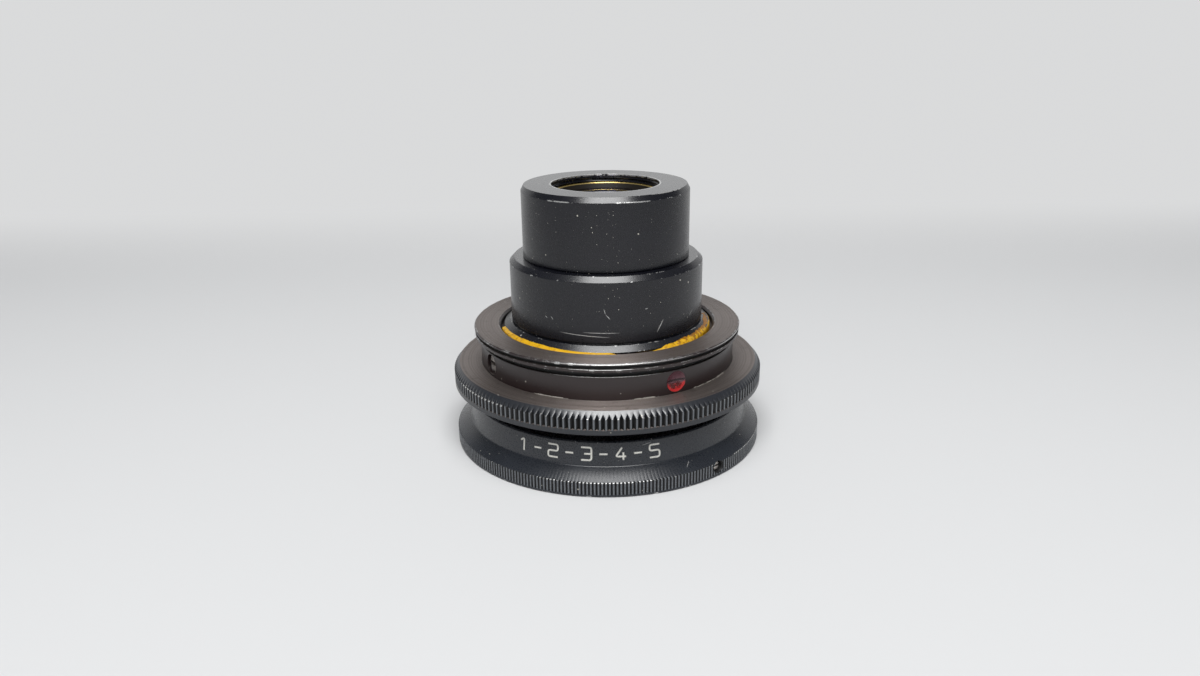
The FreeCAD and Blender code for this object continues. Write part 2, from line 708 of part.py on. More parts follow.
def make_clamp_screws():
    """Slotted set screws whose cone points stand in the insert's groove."""
    tip = f"({INSERT_R} - insert_groove_depth + clamp_tip_gap)"
    end = f"({NECK_R} - clamp_recess)"
    shank = "(clamp_screw_dia / 2 - seat_gap)"
    for number in range(int(value("clamp_screws"))):
        body = turned_across(f"clamp_screw_{number + 1}", CLAMP_HEIGHT, [
            (f"{tip} + clamp_tip_dia / 2", "0"),
            (f"{tip} + clamp_tip_dia / 2", "clamp_tip_dia / 2"),
            (f"{tip} + {shank}", shank),
            (end, shank),
            (end, "0"),
        ])
        screw_slot(body, CLAMP_HEIGHT, end, "clamp_slot_width", "clamp_slot_depth")
        face_about(body, f"clamp_angle + {number} * {FULL_TURN} / clamp_screws")


def make_index_seal():
    """Drop of red varnish that fills the hole over the index screw."""
    foot = f"{NECK_R} - clamp_recess + seat_gap"
    seal_r = "(clamp_screw_dia / 2 - seat_gap)"
    body = turned_across("index_seal", CLAMP_HEIGHT, [
        (foot, "0"),
        (foot, seal_r),
        (f"{NECK_R} - seal_dome", seal_r),
        (NECK_R, f"{seal_r} / 2"),
        (NECK_R, "0"),
    ])
    face_about(body, "clamp_angle")


def make_adhesive_bead():
    """Bead of adhesive on the insert, against the barrel's thread, clear of the shell's lip."""
    inner = f"{THREAD_R} + seat_gap"
    outer = f"{LIP_R} - bead_clearance"
    foot = f"{INSERT_TOP} + seat_gap"
    body = turned("adhesive_bead", [
        (inner, foot),
        (outer, foot),
        (outer, f"{FLANGE_TOP} - bead_slope"),
        (inner, FLANGE_TOP),
    ], span="bead_span")
    face_about(body, "bead_start_angle")


make_name_ring()
make_name_ring_screw()
make_main_barrel()
make_aperture_stop()
make_front_group()
make_rear_group()
make_threaded_insert()
make_mount_shell()
make_knurled_ring()
make_clamp_screws()
make_index_seal()
make_adhesive_bead()
doc.recompute()

# Nothing is written unless every object is sound
for item in doc.Objects:
    if "Invalid" in item.State or "Error" in item.State:
        raise ValueError(f"{item.Name} failed: {item.State}")
bodies = [item for item in doc.Objects if item.TypeId == "PartDesign::Body"]
for body in bodies:
    if body.Shape.isNull() or not body.Shape.isValid() or not body.Shape.Solids:
        raise ValueError(f"{body.Label} has no sound shape")

os.makedirs("parts", exist_ok=True)
for body in bodies:
    body.Shape.exportStep(f"parts/{body.Label}.step")
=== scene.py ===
"""Visual model of a macro lens in its camera-side adapter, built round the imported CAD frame.

The file is laid out as an add-on: sizes and colours are properties, each piece or group of like
pieces has its operator, and a panel in the 3D view lists them. Lengths are in metres, +Z is the
optical axis and the front of the object faces -Y. An angle "right of the front" is measured
about +Z from -Y towards +X.
"""

import math

import bmesh
import bpy
import numpy as np
from bpy.props import (
    FloatProperty, FloatVectorProperty, IntProperty, PointerProperty, StringProperty)
from bpy.types import Operator, Panel, PropertyGroup
from mathutils import Matrix, Vector


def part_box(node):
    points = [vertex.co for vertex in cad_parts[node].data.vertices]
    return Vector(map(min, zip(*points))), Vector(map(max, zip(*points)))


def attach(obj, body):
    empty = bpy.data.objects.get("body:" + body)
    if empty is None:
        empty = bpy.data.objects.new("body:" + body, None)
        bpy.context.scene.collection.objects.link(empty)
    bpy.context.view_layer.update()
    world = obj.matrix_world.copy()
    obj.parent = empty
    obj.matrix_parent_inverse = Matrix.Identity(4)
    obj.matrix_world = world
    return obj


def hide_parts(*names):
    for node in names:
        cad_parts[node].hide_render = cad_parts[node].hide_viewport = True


bl_info = {
    "name": "Macro Lens",
    "version": (1, 0, 0),
    "blender": (4, 5, 0),
    "location": "3D View > Sidebar > Macro Lens",
    "description": "Builds the barrels, rings, glasses, screws and finishes of a macro lens",
    "category": "Object",
}

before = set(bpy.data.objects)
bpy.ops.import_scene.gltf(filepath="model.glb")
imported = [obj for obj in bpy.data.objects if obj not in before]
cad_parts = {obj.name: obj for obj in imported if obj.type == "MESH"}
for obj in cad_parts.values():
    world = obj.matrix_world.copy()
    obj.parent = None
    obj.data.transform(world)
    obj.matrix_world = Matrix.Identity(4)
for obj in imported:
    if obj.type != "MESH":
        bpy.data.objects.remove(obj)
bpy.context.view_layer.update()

MM = 0.001

FIT = 0.02 * MM  # gap between pieces that fit into each other
FINE_PITCH = 0.5 * MM  # of the front thread, the cell threads and the clamp screws
MOUNT_PITCH = 0.75 * MM
GRUB_PITCH = 0.35 * MM
CELL_THREAD_DEPTH = 0.2 * MM

# Spacing and depth of the circular marks on turned faces
ENAMEL_MARKS = (0.07 * MM, 0.0012 * MM)
FLANGE_MARKS = (0.07 * MM, 0.0016 * MM)
RING_MARKS = (0.08 * MM, 0.0016 * MM)


def cad_ring(node):
    """Outer radius, foot and top of a CAD node that is turned about the optical axis."""
    low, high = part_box(node)
    return high.x, low.z, high.z


def length(name, description, millimetres):
    """Length property, with its default given in millimetres and kept in metres."""
    return FloatProperty(
        name=name, description=description, default=millimetres * MM, unit="LENGTH", precision=5)


def angle(name, description, degrees):
    """Angle property, with its default given in degrees."""
    return FloatProperty(
        name=name, description=description, default=math.radians(degrees), subtype="ANGLE")


def colour(name, description, red, green, blue):
    """Colour property in linear light."""
    return FloatVectorProperty(
        name=name, description=description, default=(red, green, blue), subtype="COLOR",
        min=0, max=1)


RING_R, _, RING_TOP = cad_ring("name_ring")
CUP_R, CUP_FOOT, BARREL_TOP = cad_ring("main_barrel")
CELL_R, CELL_FOOT, REAR_FACE = cad_ring("rear_cell")
REAR_RING_R, REAR_RING_FOOT, REAR_RING_TOP = cad_ring("rear_retaining_ring")
REAR_GLASS_R, REAR_GLASS_FOOT, REAR_GLASS_TOP = cad_ring("rear_element_outer")
INSERT_R, INSERT_FOOT, INSERT_TOP = cad_ring("threaded_insert")
FLANGE_R, SHELL_FOOT, FLANGE_TOP = cad_ring("mount_shell")
GRIP_R, GRIP_FOOT, GRIP_TOP = cad_ring("knurled_ring")
FRONT_CELL_R, FRONT_CELL_FOOT, FRONT_CELL_TOP = cad_ring("front_cell")
FRONT_RING_R, FRONT_RING_FOOT, FRONT_RING_TOP = cad_ring("front_retaining_ring")
FRONT_GLASS_R, FRONT_GLASS_FOOT, FRONT_GLASS_TOP = cad_ring("front_element_outer")


class FrontRingSizes(PropertyGroup):
    """Knurled front ring with its engraved band."""

    bore: length("Bore", "Radius of the ring's bore on the barrel", 19.02)
    teeth: IntProperty(name="Teeth", description="Teeth of the fine knurl", default=286)
    tooth_depth: length("Tooth depth", "Depth of the fine knurl's grooves", 0.17)
    tooth_gap: length("Tooth gap", "Width of the fine knurl's grooves at the crest", 0.34)
    land: length("Land", "Plain land under the fine knurl", 0.35)
    rim: length("Rim", "Height of the knurled rim", 2.1)
    cove_radius: length("Cove radius", "Radius at the foot of the band", 20.93)
    cove_height: length("Cove height", "Height of the foot of the band", 3.55)
    band_radius: length("Band radius", "Radius at the top of the band", 20.5)
    screw_angle: angle("Screw angle", "Place of the grub screw, right of the front", 41)
    screw_height: length("Screw height", "Height of the grub screw", 1.45)
    screw_radius: length("Screw radius", "Radius of the grub screw's hole", 0.8)


class MarkingSizes(PropertyGroup):
    """Numbers filled with cream paint on the front ring's band."""

    text: StringProperty(
        name="Numbers", description="Digits and dashes round the band", default="1-2-3-4-5")
    start: angle("Start", "Angle of the first mark, right of the front", -34.2)
    spacing: length("Spacing", "From one mark to the next, round the band", 2.34)
    foot: length("Foot", "Height of the marks' foot", 4.36)
    height: length("Height", "Height of the digits", 1.76)
    width: length("Width", "Width of the digits", 1.42)
    stroke: length("Stroke", "Width of a stroke", 0.25)


class BarrelSizes(PropertyGroup):
    """Main barrel and the rear cell on it."""

    cup_bore: length("Cup bore", "Radius of the front thread's core", 17.48)
    cup_floor: length("Cup floor", "Height of the cup's floor", 4.9)
    shoulder: length("Shoulder", "Height of the shoulder over the cup", 7.0)
    cell_bore: length("Cell bore", "Radius of the front cell's bore", 13.02)
    web_foot: length("Web foot", "Height of the web's foot", 15.0)
    web_top: length("Web top", "Height of the web's top", 20.0)
    web_bore: length("Web bore", "Radius of the hole through the web", 8.5)
    thread_radius: length("Thread radius", "Crest radius of the mount thread", 15.25)
    thread_top: length("Thread top", "Height at which the mount thread ends", 17.57)
    lead_radius: length("Lead radius", "Radius at the top of the lead chamfer", 14.3)
    lead_top: length("Lead top", "Height of the lead chamfer's top", 18.24)
    relief_radius: length("Relief radius", "Radius of the relief groove", 13.8)
    relief_top: length("Relief top", "Height of the relief groove's top", 18.54)
    tier_radius: length("Tier radius", "Radius of the second tier", 14.1)
    tier_chamfer: length("Tier chamfer", "Chamfer at the second tier's top", 0.7)
    rear_bore: length("Rear bore", "Radius of the bore for the rear cell", 11.72)
    spigot: length("Spigot", "Radius of the rear cell's spigot", 11.7)
    cell_foot_chamfer: length("Cell foot chamfer", "Chamfer at the rear cell's foot", 0.12)
    cell_chamfer_width: length("Cell chamfer width", "Width of the rear face's chamfer", 0.4)
    cell_chamfer_height: length("Cell chamfer height", "Height of the rear face's chamfer", 0.75)
    opening: length("Opening", "Radius of the rear opening", 7.77)
    light: length("Light radius", "Radius of the clear hole behind the rear glass", 6.9)
    pair_bore: length("Pair bore", "Radius of the bore for the cemented pair", 8.52)
    pair_seat: length("Pair seat", "Height of the cemented pair's seat", 30.8)
    ring_land: length("Ring land", "Width of the rear retaining ring's bright land", 0.4)
    ring_lip: length("Ring lip", "Height of the rear retaining ring's inner edge", 0.15)


class AdapterSizes(PropertyGroup):
    """Adapter shell, its grip ring, insert, screws and adhesive."""

    bore: length("Bore", "Radius of the shell's bore", 17.03)
    lip_bore: length("Lip bore", "Radius of the lip's bore", 15.75)
    lip_foot: length("Lip foot", "Height of the lip's foot", 16.55)
    lip_chamfer: length("Lip chamfer", "Chamfer at the top of the lip's bore", 0.35)
    neck: length("Neck", "Radius of the neck", 18.86)
    neck_top: length("Neck top", "Height of the neck's top", 15.5)
    undercut: length("Undercut", "Radius of the undercut over the neck", 18.46)
    ridge: length("Ridge", "Radius of the ridge under the flange's groove", 19.63)
    ridge_foot: length("Ridge foot", "Height of the ridge's foot", 16.38)
    groove: length("Groove", "Radius at the bottom of the flange's groove", 19.2)
    groove_foot: length("Groove foot", "Height of the groove's foot", 16.8)
    groove_top: length("Groove top", "Height of the groove's top", 17.27)
    flange_chamfer: length("Flange chamfer", "Chamfer at the flange's top", 0.15)
    teeth: IntProperty(name="Teeth", description="Teeth of the coarse knurl", default=180)
    tooth_depth: length("Tooth depth", "Depth of the coarse knurl's grooves", 0.48)
    tooth_gap: length("Tooth gap", "Width of the coarse knurl's grooves at the crest", 0.58)
    land: length("Land", "Plain land under the coarse knurl", 0.77)
    top_width: length("Top width", "Width of the grip ring's top chamfer", 0.8)
    top_height: length("Top height", "Height of the grip ring's top chamfer", 0.92)
    foot_chamfer: length("Foot chamfer", "Chamfer at the grip ring's foot", 0.12)
    clamp_height: length("Clamp height", "Height of the clamp screws", 13.85)
    clamp_radius: length("Clamp radius", "Radius of the clamp screws' holes", 1.5)
    clamp_end: length("Clamp end", "Distance of the screws' slotted ends from the axis", 18.41)
    index_angle: angle("Index angle", "Place of the sealed screw, right of the front", 29)
    insert_bore: length("Insert bore", "Radius of the insert's bore", 15.27)
    insert_groove: length("Insert groove", "Depth of the insert's V-groove", 0.8)


class FinishColours(PropertyGroup):
    """Base colours of the finishes, in linear light."""

    enamel: colour("Barrel enamel", "Black enamel of the barrels", 0.0028, 0.0031, 0.0062)
    ring_enamel: colour("Ring enamel", "Black enamel of the front ring", 0.018, 0.021, 0.027)
    anodised: colour("Anodised", "Black anodised walls of the adapter", 0.019, 0.0105, 0.0105)
    grip_wall: colour("Grip wall", "Blue-black wall of the coarse knurl", 0.013, 0.015, 0.02)
    turned_face: colour("Turned face", "Brown-black faces of the adapter", 0.31, 0.265, 0.245)
    cell_black: colour("Cell black", "Matt black inside the cells", 0.012, 0.012, 0.013)
    brass: colour("Brass", "Bare brass", 0.75, 0.56, 0.2)
    blackened: colour("Blackened brass", "Blackened brass rings", 0.012, 0.01, 0.008)
    aluminium: colour("Aluminium", "Bare aluminium at worn edges", 0.6, 0.6, 0.59)
    steel: colour("Steel", "Set screws", 0.6, 0.58, 0.55)
    glass: colour("Glass", "Coated glass", 0.93, 0.97, 0.95)
    varnish: colour("Varnish", "Red sealing varnish", 0.85, 0.05, 0.05)
    # Painted reflection: the mauve of the varnish's upper part.
    varnish_reflection: colour("Deep varnish", "Red varnish where it is full", 0.2, 0.085, 0.11)
    adhesive: colour("Adhesive", "Amber adhesive", 0.66, 0.37, 0.008)
    deep_adhesive: colour("Deep adhesive", "Amber adhesive where it is thick", 0.22, 0.075, 0.006)
    paint: colour("Marking paint", "Cream paint in the engraved numbers", 0.72, 0.71, 0.66)
    dust: colour("Dust", "Pale dust and debris", 0.66, 0.63, 0.56)
    # Wear and painted highlight: the light grey on the knurls' tooth crowns.
    crown_wear_and_highlight: colour("Worn crown", "Tooth crowns of the knurls, worn light", 0.17, 0.183, 0.2)
    # Painted shade: this near-black colour fills the grooves of the knurls and the adapter's groove
    # and undercut; the set screws' dull blotches share the name as grime.
    grime_and_shade: colour("Grime", "Grime in grooves", 0.0015, 0.0015, 0.002)
    floor: colour("Floor", "Pale table", 0.655, 0.66, 0.665)
    wall: colour("Wall", "Pale backdrop", 0.7, 0.705, 0.71)


class StageSizes(PropertyGroup):
    """Camera, floor and lamps."""

    camera_place: FloatVectorProperty(
        name="Camera place", description="Camera's place", default=(-0.001035, -0.12817, 0.05905),
        subtype="TRANSLATION", unit="LENGTH")
    camera_pitch: angle("Camera pitch", "How far the camera looks down", 19.203)
    camera_roll: angle("Camera roll", "How far the camera leans", 0.776)
    camera_lens: FloatProperty(
        name="Lens", description="Focal length in millimetres", default=26.904)


class MacroLensSettings(PropertyGroup):
    """All sizes and colours of the macro lens."""

    front_ring: PointerProperty(type=FrontRingSizes)
    marking: PointerProperty(type=MarkingSizes)
    barrel: PointerProperty(type=BarrelSizes)
    adapter: PointerProperty(type=AdapterSizes)
    colours: PointerProperty(type=FinishColours)
    stage: PointerProperty(type=StageSizes)


def settings():
    """The scene's sizes and colours of the macro lens."""
    return bpy.context.scene.macro_lens


# Turned outlines

EDGE = 0.05 * MM
FINE_EDGE = 0.02 * MM
SUPPORT = 0.03 * MM  # from a rounding to the point that holds the flat beside it
ROUNDING_ROOM = 0.4  # largest share of a side that a rounding takes
STRAIGHT = math.radians(175)
ROUND_STEPS = 3
COLUMNS = 288
SMOOTH_ANGLE = math.radians(32)
ROWS_PER_PITCH = 8
RUN_OUT = 0.7  # in pitches, over which a thread fades at its ends
TEETH_START = 0.001 * MM  # from a knurl's plain land up to its teeth


def rounded(corners, edge=EDGE):
    """Closed outline of radius and height, with its corners rounded and its flats held flat.

    A corner is (radius, height) or (radius, height, rounding). Rounding of 0 keeps it as it is.
    """
    points = []
    for index, corner in enumerate(corners):
        here = np.array(corner[:2])
        size = corner[2] if len(corner) > 2 else edge
        before = np.array(corners[index - 1][:2]) - here
        after = np.array(corners[(index + 1) % len(corners)][:2]) - here
        room_before, room_after = np.linalg.norm(before), np.linalg.norm(after)
        before, after = before / room_before, after / room_after
        opening = math.acos(np.clip(before @ after, -1, 1))
        if size == 0 or opening > STRAIGHT:
            points.append(here)
            continue
        reach = min(size / math.tan(opening / 2), ROUNDING_ROOM * room_before,
                    ROUNDING_ROOM * room_after)
        centre = here + (before + after) * reach / (2 * math.cos(opening / 2) ** 2)
        if reach + SUPPORT < 0.5 * room_before:
            points.append(here + before * (reach + SUPPORT))
        start, end = here + before * reach - centre, here + after * reach - centre
        turn = math.pi - opening
        for step in range(ROUND_STEPS + 1):
            share = step / ROUND_STEPS
            arm = math.sin((1 - share) * turn) * start + math.sin(share * turn) * end
            points.append(centre + arm / math.sin(turn))
        if reach + SUPPORT < 0.5 * room_after:
            points.append(here + after * (reach + SUPPORT))
    return np.array(points)


def machined(start, end, spacing, depth, seed):
    """Points along a turned face from start to end, raised and sunk by the tool's fine marks."""
    start, end = np.array(start), np.array(end)
    along = end - start
    count = max(int(np.linalg.norm(along) / spacing), 2)
    across = np.array([-along[1], along[0]]) / np.linalg.norm(along)
    marks = np.random.default_rng(seed).uniform(0.3, 1, count)
    points = []
    for number in range(1, count):
        lift = depth * marks[number] * (-1) ** number
        spot = start + along * number / count + across * lift
        points.append((*spot, 0))
    return points


def thread_rows(radius, foot, top, pitch):
    """Closely spaced points up a threaded wall, from foot to top or from top to foot."""
    count = int(abs(top - foot) / pitch * ROWS_PER_PITCH)
    return [(radius, foot + (top - foot) * number / count, 0) for number in range(1, count)]


def cut_thread(radius, height, turn, wall, foot, top, pitch, depth):
    """Radii of a grid with a helical groove in one of its walls; depth is negative in a bore.

    The groove is a V with a narrow flat at its bottom and another at its crest.
    """
    phase = (height / pitch - turn / math.tau) % 1
    groove = np.clip(1.5 * np.abs(2 * phase - 1) - 0.25, 0, 1)
    fade = np.clip(np.minimum(height - foot, top - height) / (RUN_OUT * pitch), 0, 1)
    on_wall = np.abs(radius - wall) < 0.01 * MM
    return np.where(on_wall, radius - depth * groove * fade, radius)


def linked(name, data):
    """Object in the scene, at the origin, for a mesh, a lamp or a camera."""
    holder = bpy.data.objects.new(name, data)
    bpy.context.scene.collection.objects.link(holder)
    return holder


def new_piece(name, points, faces):
    """Piece in the scene from its points and faces."""
    mesh = bpy.data.meshes.new(name)
    mesh.from_pydata(points, [], faces)
    return linked(name, mesh)


def close_up(piece):
    """Join the points of a piece that coincide and turn its faces outwards."""
    shape = bmesh.new()
    shape.from_mesh(piece.data)
    bmesh.ops.remove_doubles(shape, verts=shape.verts, dist=1e-7)
    bmesh.ops.recalc_face_normals(shape, faces=shape.faces)
    shape.to_mesh(piece.data)
    shape.free()


def grid_piece(name, radius, height, turn):
    """Closed piece from a grid of radius, height and angle; each row goes once round the axis.

    A row on the axis is joined to one point.
    """
    radius, height, turn = np.broadcast_arrays(radius, height, turn)
    rows, columns = radius.shape
    points = np.stack([radius * np.cos(turn), radius * np.sin(turn), height], axis=-1)
    row = np.arange(rows)[:, None]
    column = np.arange(columns)[None, :]
    next_row, next_column = (row + 1) % rows, (column + 1) % columns
    faces = np.stack([
        row * columns + column,
        row * columns + next_column,
        next_row * columns + next_column,
        next_row * columns + column], axis=-1).reshape(-1, 4)
    outline_r, outline_z = radius[:, 0], height[:, 0]
    area = np.sum(outline_r * np.roll(outline_z, -1) - outline_z * np.roll(outline_r, -1))
    if area < 0:
        faces = faces[:, ::-1]
    piece = new_piece(name, points.reshape(-1, 3).tolist(), faces.tolist())
    if not radius.all():
        close_up(piece)
    return piece


def turned(name, corners, threads=(), edge=EDGE, columns=COLUMNS):
    """Piece turned about the optical axis from a closed outline, with any threads cut in it."""
    outline = rounded(corners, edge)
    turn = np.linspace(0, math.tau, columns, endpoint=False)[None, :]
    radius, height = outline[:, :1] + 0 * turn, outline[:, 1:] + 0 * turn
    for thread in threads:
        radius = cut_thread(radius, height, turn, *thread)
    return grid_piece(name, radius, height, turn)


def knurled(name, corners, crest, depth, gap, foot, teeth):
    """Turned piece with V-grooves along the axis from a foot height up, all round its crest."""
    outline = rounded(corners)
    radius, height = outline[:, :1], outline[:, 1:]
    drop = np.where(height >= foot, np.clip(radius - (crest - depth), 0, depth), 0)
    steep = 2 * depth / gap
    soft = FINE_EDGE  # half the width of the bevel along a tooth's edge
    reach = np.maximum(drop / steep, 2 * soft)
    brim = np.minimum(soft * steep, drop)
    pitch = math.tau * crest / teeth
    offsets = np.hstack([0 * drop, reach - soft, reach + soft, 0 * drop + pitch / 2,
                         pitch - reach - soft, pitch - reach + soft])
    drops = np.hstack([drop, brim, 0 * drop, 0 * drop, 0 * drop, brim])
    starts = np.arange(teeth) * math.tau / teeth
    turn = (starts[None, :, None] + offsets[:, None, :] / crest).reshape(len(outline), -1)
    radius = np.tile(radius - drops, (1, teeth))
    return grid_piece(name, radius, height, turn)


def polished(vertex, radius, edge):
    """Points of a polished face from its vertex on the axis out to its edge.

    A positive radius has its centre above the vertex, a negative one below it.
    """
    return [(across, vertex + radius - math.copysign(math.sqrt(radius ** 2 - across ** 2), radius))
            for across in np.linspace(0, edge, 24)]


def cut(piece, cutter):
    """Take a cutter's shape out of a piece and delete the cutter."""
    modifier = piece.modifiers.new("cut", "BOOLEAN")
    modifier.object = cutter
    modifier.solver = "EXACT"
    bpy.context.view_layer.update()
    evaluated = piece.evaluated_get(bpy.context.evaluated_depsgraph_get())
    mesh = bpy.data.meshes.new_from_object(evaluated)
    piece.modifiers.clear()
    piece.data = mesh
    bpy.data.objects.remove(cutter)


def cut_slot(piece, height, width, run, depth):
    """Saw a slot that runs across the axis into a piece's end at a height."""
    bpy.ops.mesh.primitive_cube_add(size=1, location=(0, 0, height))
    saw = bpy.context.object
    saw.scale = (width, run, 2 * depth)
    cut(piece, saw)


def radial(right_of_front, height):
    """Matrix that lays +Z along the radius at an angle right of the front, at a height."""
    lying = Matrix.Rotation(math.pi / 2, 4, "Y")
    turned_to = Matrix.Rotation(right_of_front - math.pi / 2, 4, "Z")
    return Matrix.Translation((0, 0, height)) @ turned_to @ lying


def place(piece, body, slot, finish, *nodes, limit=SMOOTH_ANGLE):
    """Give a finished piece its body and material, in place of CAD nodes. The slot is not used.

    It is shaded smooth, with its edges sharp where they turn by more than a limit.
    """
    piece.data.shade_smooth()
    piece.data.set_sharp_from_angle(angle=limit)
    piece.data.materials.clear()
    piece.data.materials.append(finish)
    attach(piece, body)
    if nodes:
        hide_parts(*nodes)


# Shader building


def shade(base, share):
    """A darker or lighter copy of a colour."""
    return [share * part for part in base]


class Value:
    """A number that varies over a surface. Arithmetic on it adds Math nodes."""

    def __init__(self, finish, socket):
        self.finish = finish
        self.socket = socket

    def __add__(self, other):
        return self.finish.math("ADD", self, other)

    def __sub__(self, other):
        return self.finish.math("SUBTRACT", self, other)

    def __rsub__(self, other):
        return self.finish.math("SUBTRACT", other, self)

    def __mul__(self, other):
        return self.finish.math("MULTIPLY", self, other)

    def __truediv__(self, other):
        return self.finish.math("DIVIDE", self, other)

    def __pow__(self, other):
        return self.finish.math("POWER", self, other)

    def __or__(self, other):
        """The larger of two masks."""
        return self.finish.math("MAXIMUM", self, other)

    __radd__ = __add__
    __rmul__ = __mul__
    __ror__ = __or__


class Finish:
    """A material being made. Its measures are in millimetres on the object."""

    def __init__(self, name):
        self.colours = settings().colours
        self.material = bpy.data.materials.new(name)
        self.material.use_nodes = True
        self.tree = self.material.node_tree
        self.tree.nodes.clear()
        position = self.node("ShaderNodeTexCoord", output="Object")
        self.spot = self.vector("SCALE", position, scale=1 / MM)
        x, self.depth, self.height = self.apart(self.spot)
        self.radius = (x * x + self.depth * self.depth) ** 0.5
        self.turn = self.math("ARCTAN2", x, 0 - self.depth)
        self.rise = self.apart(self.node("ShaderNodeTexCoord", output="Normal"))[2]

    def node(self, kind, settings=(), inputs=(), output=0):
        """Add a node, with its settings first and then the values or links of its sockets."""
        added = self.tree.nodes.new(kind)
        for name, setting in dict(settings).items():
            setattr(added, name, setting)
        for key, given in dict(inputs).items():
            if isinstance(given, Value):
                self.tree.links.new(given.socket, added.inputs[key])
            else:
                added.inputs[key].default_value = given
        return Value(self, added.outputs[output]) if added.outputs else None

    def math(self, operation, *values):
        return self.node("ShaderNodeMath", {"operation": operation}, enumerate(values))

    def vector(self, operation, *values, scale=None, output=0):
        inputs = dict(enumerate(values))
        if scale is not None:
            inputs["Scale"] = scale
        return self.node("ShaderNodeVectorMath", {"operation": operation}, inputs, output)

    def apart(self, vector):
        """The three numbers of a vector."""
        first = self.node("ShaderNodeSeparateXYZ", inputs={0: vector})
        outputs = first.socket.node.outputs
        return first, Value(self, outputs[1]), Value(self, outputs[2])

    def together(self, x, y, z):
        return self.node("ShaderNodeCombineXYZ", inputs={0: x, 1: y, 2: z})

    def mix(self, share, first, second):
        """Colour between two colours."""
        first = first if isinstance(first, Value) else (*first[:3], 1)
        second = second if isinstance(second, Value) else (*second[:3], 1)
        return self.node("ShaderNodeMix", {"data_type": "RGBA"}, {0: share, 6: first, 7: second}, 2)

    def fade(self, value, start, end):
        """0 at start, 1 at end and smooth between, whichever is larger."""
        soft = {"interpolation_type": "SMOOTHSTEP"}
        return self.node("ShaderNodeMapRange", soft, {0: value, 1: start, 2: end})

    def noise(self, size, detail=2.0, rough=0.5, warp=0.0):
        """Soft noise from 0 to 1 whose blots are about a size across."""
        return self.node("ShaderNodeTexNoise", {}, {
            "Vector": self.spot, "Scale": 1 / size, "Detail": detail,
            "Roughness": rough, "Distortion": warp})

    def specks(self, spacing, size, share, shift=0.0):
        """Mask of scattered specks up to a size across; share is how many of the cells have one."""
        vector = self.vector("ADD", self.spot, (shift, shift, shift))
        inputs = {"Vector": vector, "Scale": 1 / spacing, "Randomness": 1.0}
        distance = self.node("ShaderNodeTexVoronoi", {}, inputs, "Distance") * spacing
        chance, grade, _ = self.apart(self.node("ShaderNodeTexVoronoi", {}, inputs, "Color"))
        reach = grade * size * self.math("GREATER_THAN", share, chance)
        ragged = self.noise(size * 0.7, detail=1.0)
        return self.fade(distance - reach * (0.3 + ragged * 0.5), 0.0, -0.25 * size)

    def level(self):
        """Mask of the faces that lie level."""
        return self.fade(self.rise, 0.9, 0.97)

    def chamfers(self):
        """Mask of the faces that slope upwards."""
        return self.fade(self.rise, 0.2, 0.4) * self.fade(self.rise, 0.97, 0.9)

    def near(self, middle, half):
        """Mask of a sector of the object, in degrees right of the front, that fades at its ends."""
        away = self.math("ABSOLUTE", self.turn - math.radians(middle))
        return self.fade(away, math.radians(1.4 * half), math.radians(0.6 * half))

    def worn(self, circles, width, share):
        """Mask of ragged wear along circular edges, up to a width.

        Each edge is a radius and a height in metres. The middle and the half of a sector in
        degrees may follow, for an edge that is worn only there. The larger the share, the
        fewer the gaps.
        """
        ragged = self.noise(0.9, detail=4.0, rough=0.75, warp=0.4)
        mask = 0.0
        for radius, height, *sector in circles:
            held = ragged + (self.near(*sector) - 1) * 0.3 if sector else ragged
            reach = self.fade(held, 0.78 - 0.5 * share, 0.95 - 0.5 * share) * width
            across, up = self.radius - radius / MM, self.height - height / MM
            away = (across * across + up * up) ** 0.5
            mask = self.fade(away - reach, 0.0, -0.4 * width) | mask
        return mask

    def knurl(self, coat, grain, crest, foot, top):
        """Coat made light on a knurl's crowns as wear and painted highlight, and the mask of the
        knurl's grooves, which are painted dark as shade.

        The knurl is given by the radius of its crest and the heights of its foot and top.
        """
        zone = (self.fade(self.height, foot / MM, foot / MM + 0.05)
                * self.fade(self.height, top / MM + 0.05, top / MM))
        crowns = zone * self.fade(self.radius, crest / MM - 0.04, crest / MM - 0.01)
        grooves = zone * self.fade(self.radius, crest / MM - 0.02, crest / MM - 0.08)
        # The crowns are made light grey as wear and painted highlight.
        return self.mix(crowns * (0.3 + 0.7 * grain), coat, self.colours.crown_wear_and_highlight), grooves

    def streaks(self, spacing):
        """Noise from 0 to 1 that changes with the radius only, as left by a turning tool."""
        return self.node("ShaderNodeTexNoise", {"noise_dimensions": "1D"}, {
            "W": self.radius, "Scale": 1 / spacing, "Detail": 2.0})

    def tool_marks(self, spacing, tilt):
        """Normal of a turned face, tipped in and out along the radius by fine circular marks."""
        marks = self.streaks(spacing)
        x, y, _ = self.apart(self.node("ShaderNodeNewGeometry", output="Position"))
        outwards = self.vector("NORMALIZE", self.together(x, y, 0.0))
        normal = self.node("ShaderNodeNewGeometry", output="Normal")
        tip = self.vector("SCALE", outwards, scale=(marks - 0.5) * tilt)
        return self.vector("NORMALIZE", self.vector("ADD", normal, tip))

    def scratch(self, wall, start, end, width):
        """Mask of a straight scratch on a cylindrical wall of a radius in millimetres.

        Its ends are (degrees right of the front, height in millimetres).
        """
        chart = self.together(self.turn * wall, self.height, 0.0)
        ends = [Vector((math.radians(turn) * wall, height, 0)) for turn, height in (start, end)]
        line = ends[1] - ends[0]
        offset = self.vector("SUBTRACT", chart, tuple(ends[0]))
        share = self.vector(
            "DOT_PRODUCT", offset, tuple(line / line.length_squared), output="Value")
        along = self.node("ShaderNodeClamp", inputs={0: share})
        nearest = self.vector("SCALE", tuple(line), scale=along)
        away = self.vector("LENGTH", self.vector("SUBTRACT", offset, nearest), output="Value")
        taper = 1 - (2 * along - 1) ** 2
        return self.fade(away, width, 0.2 * width) * taper

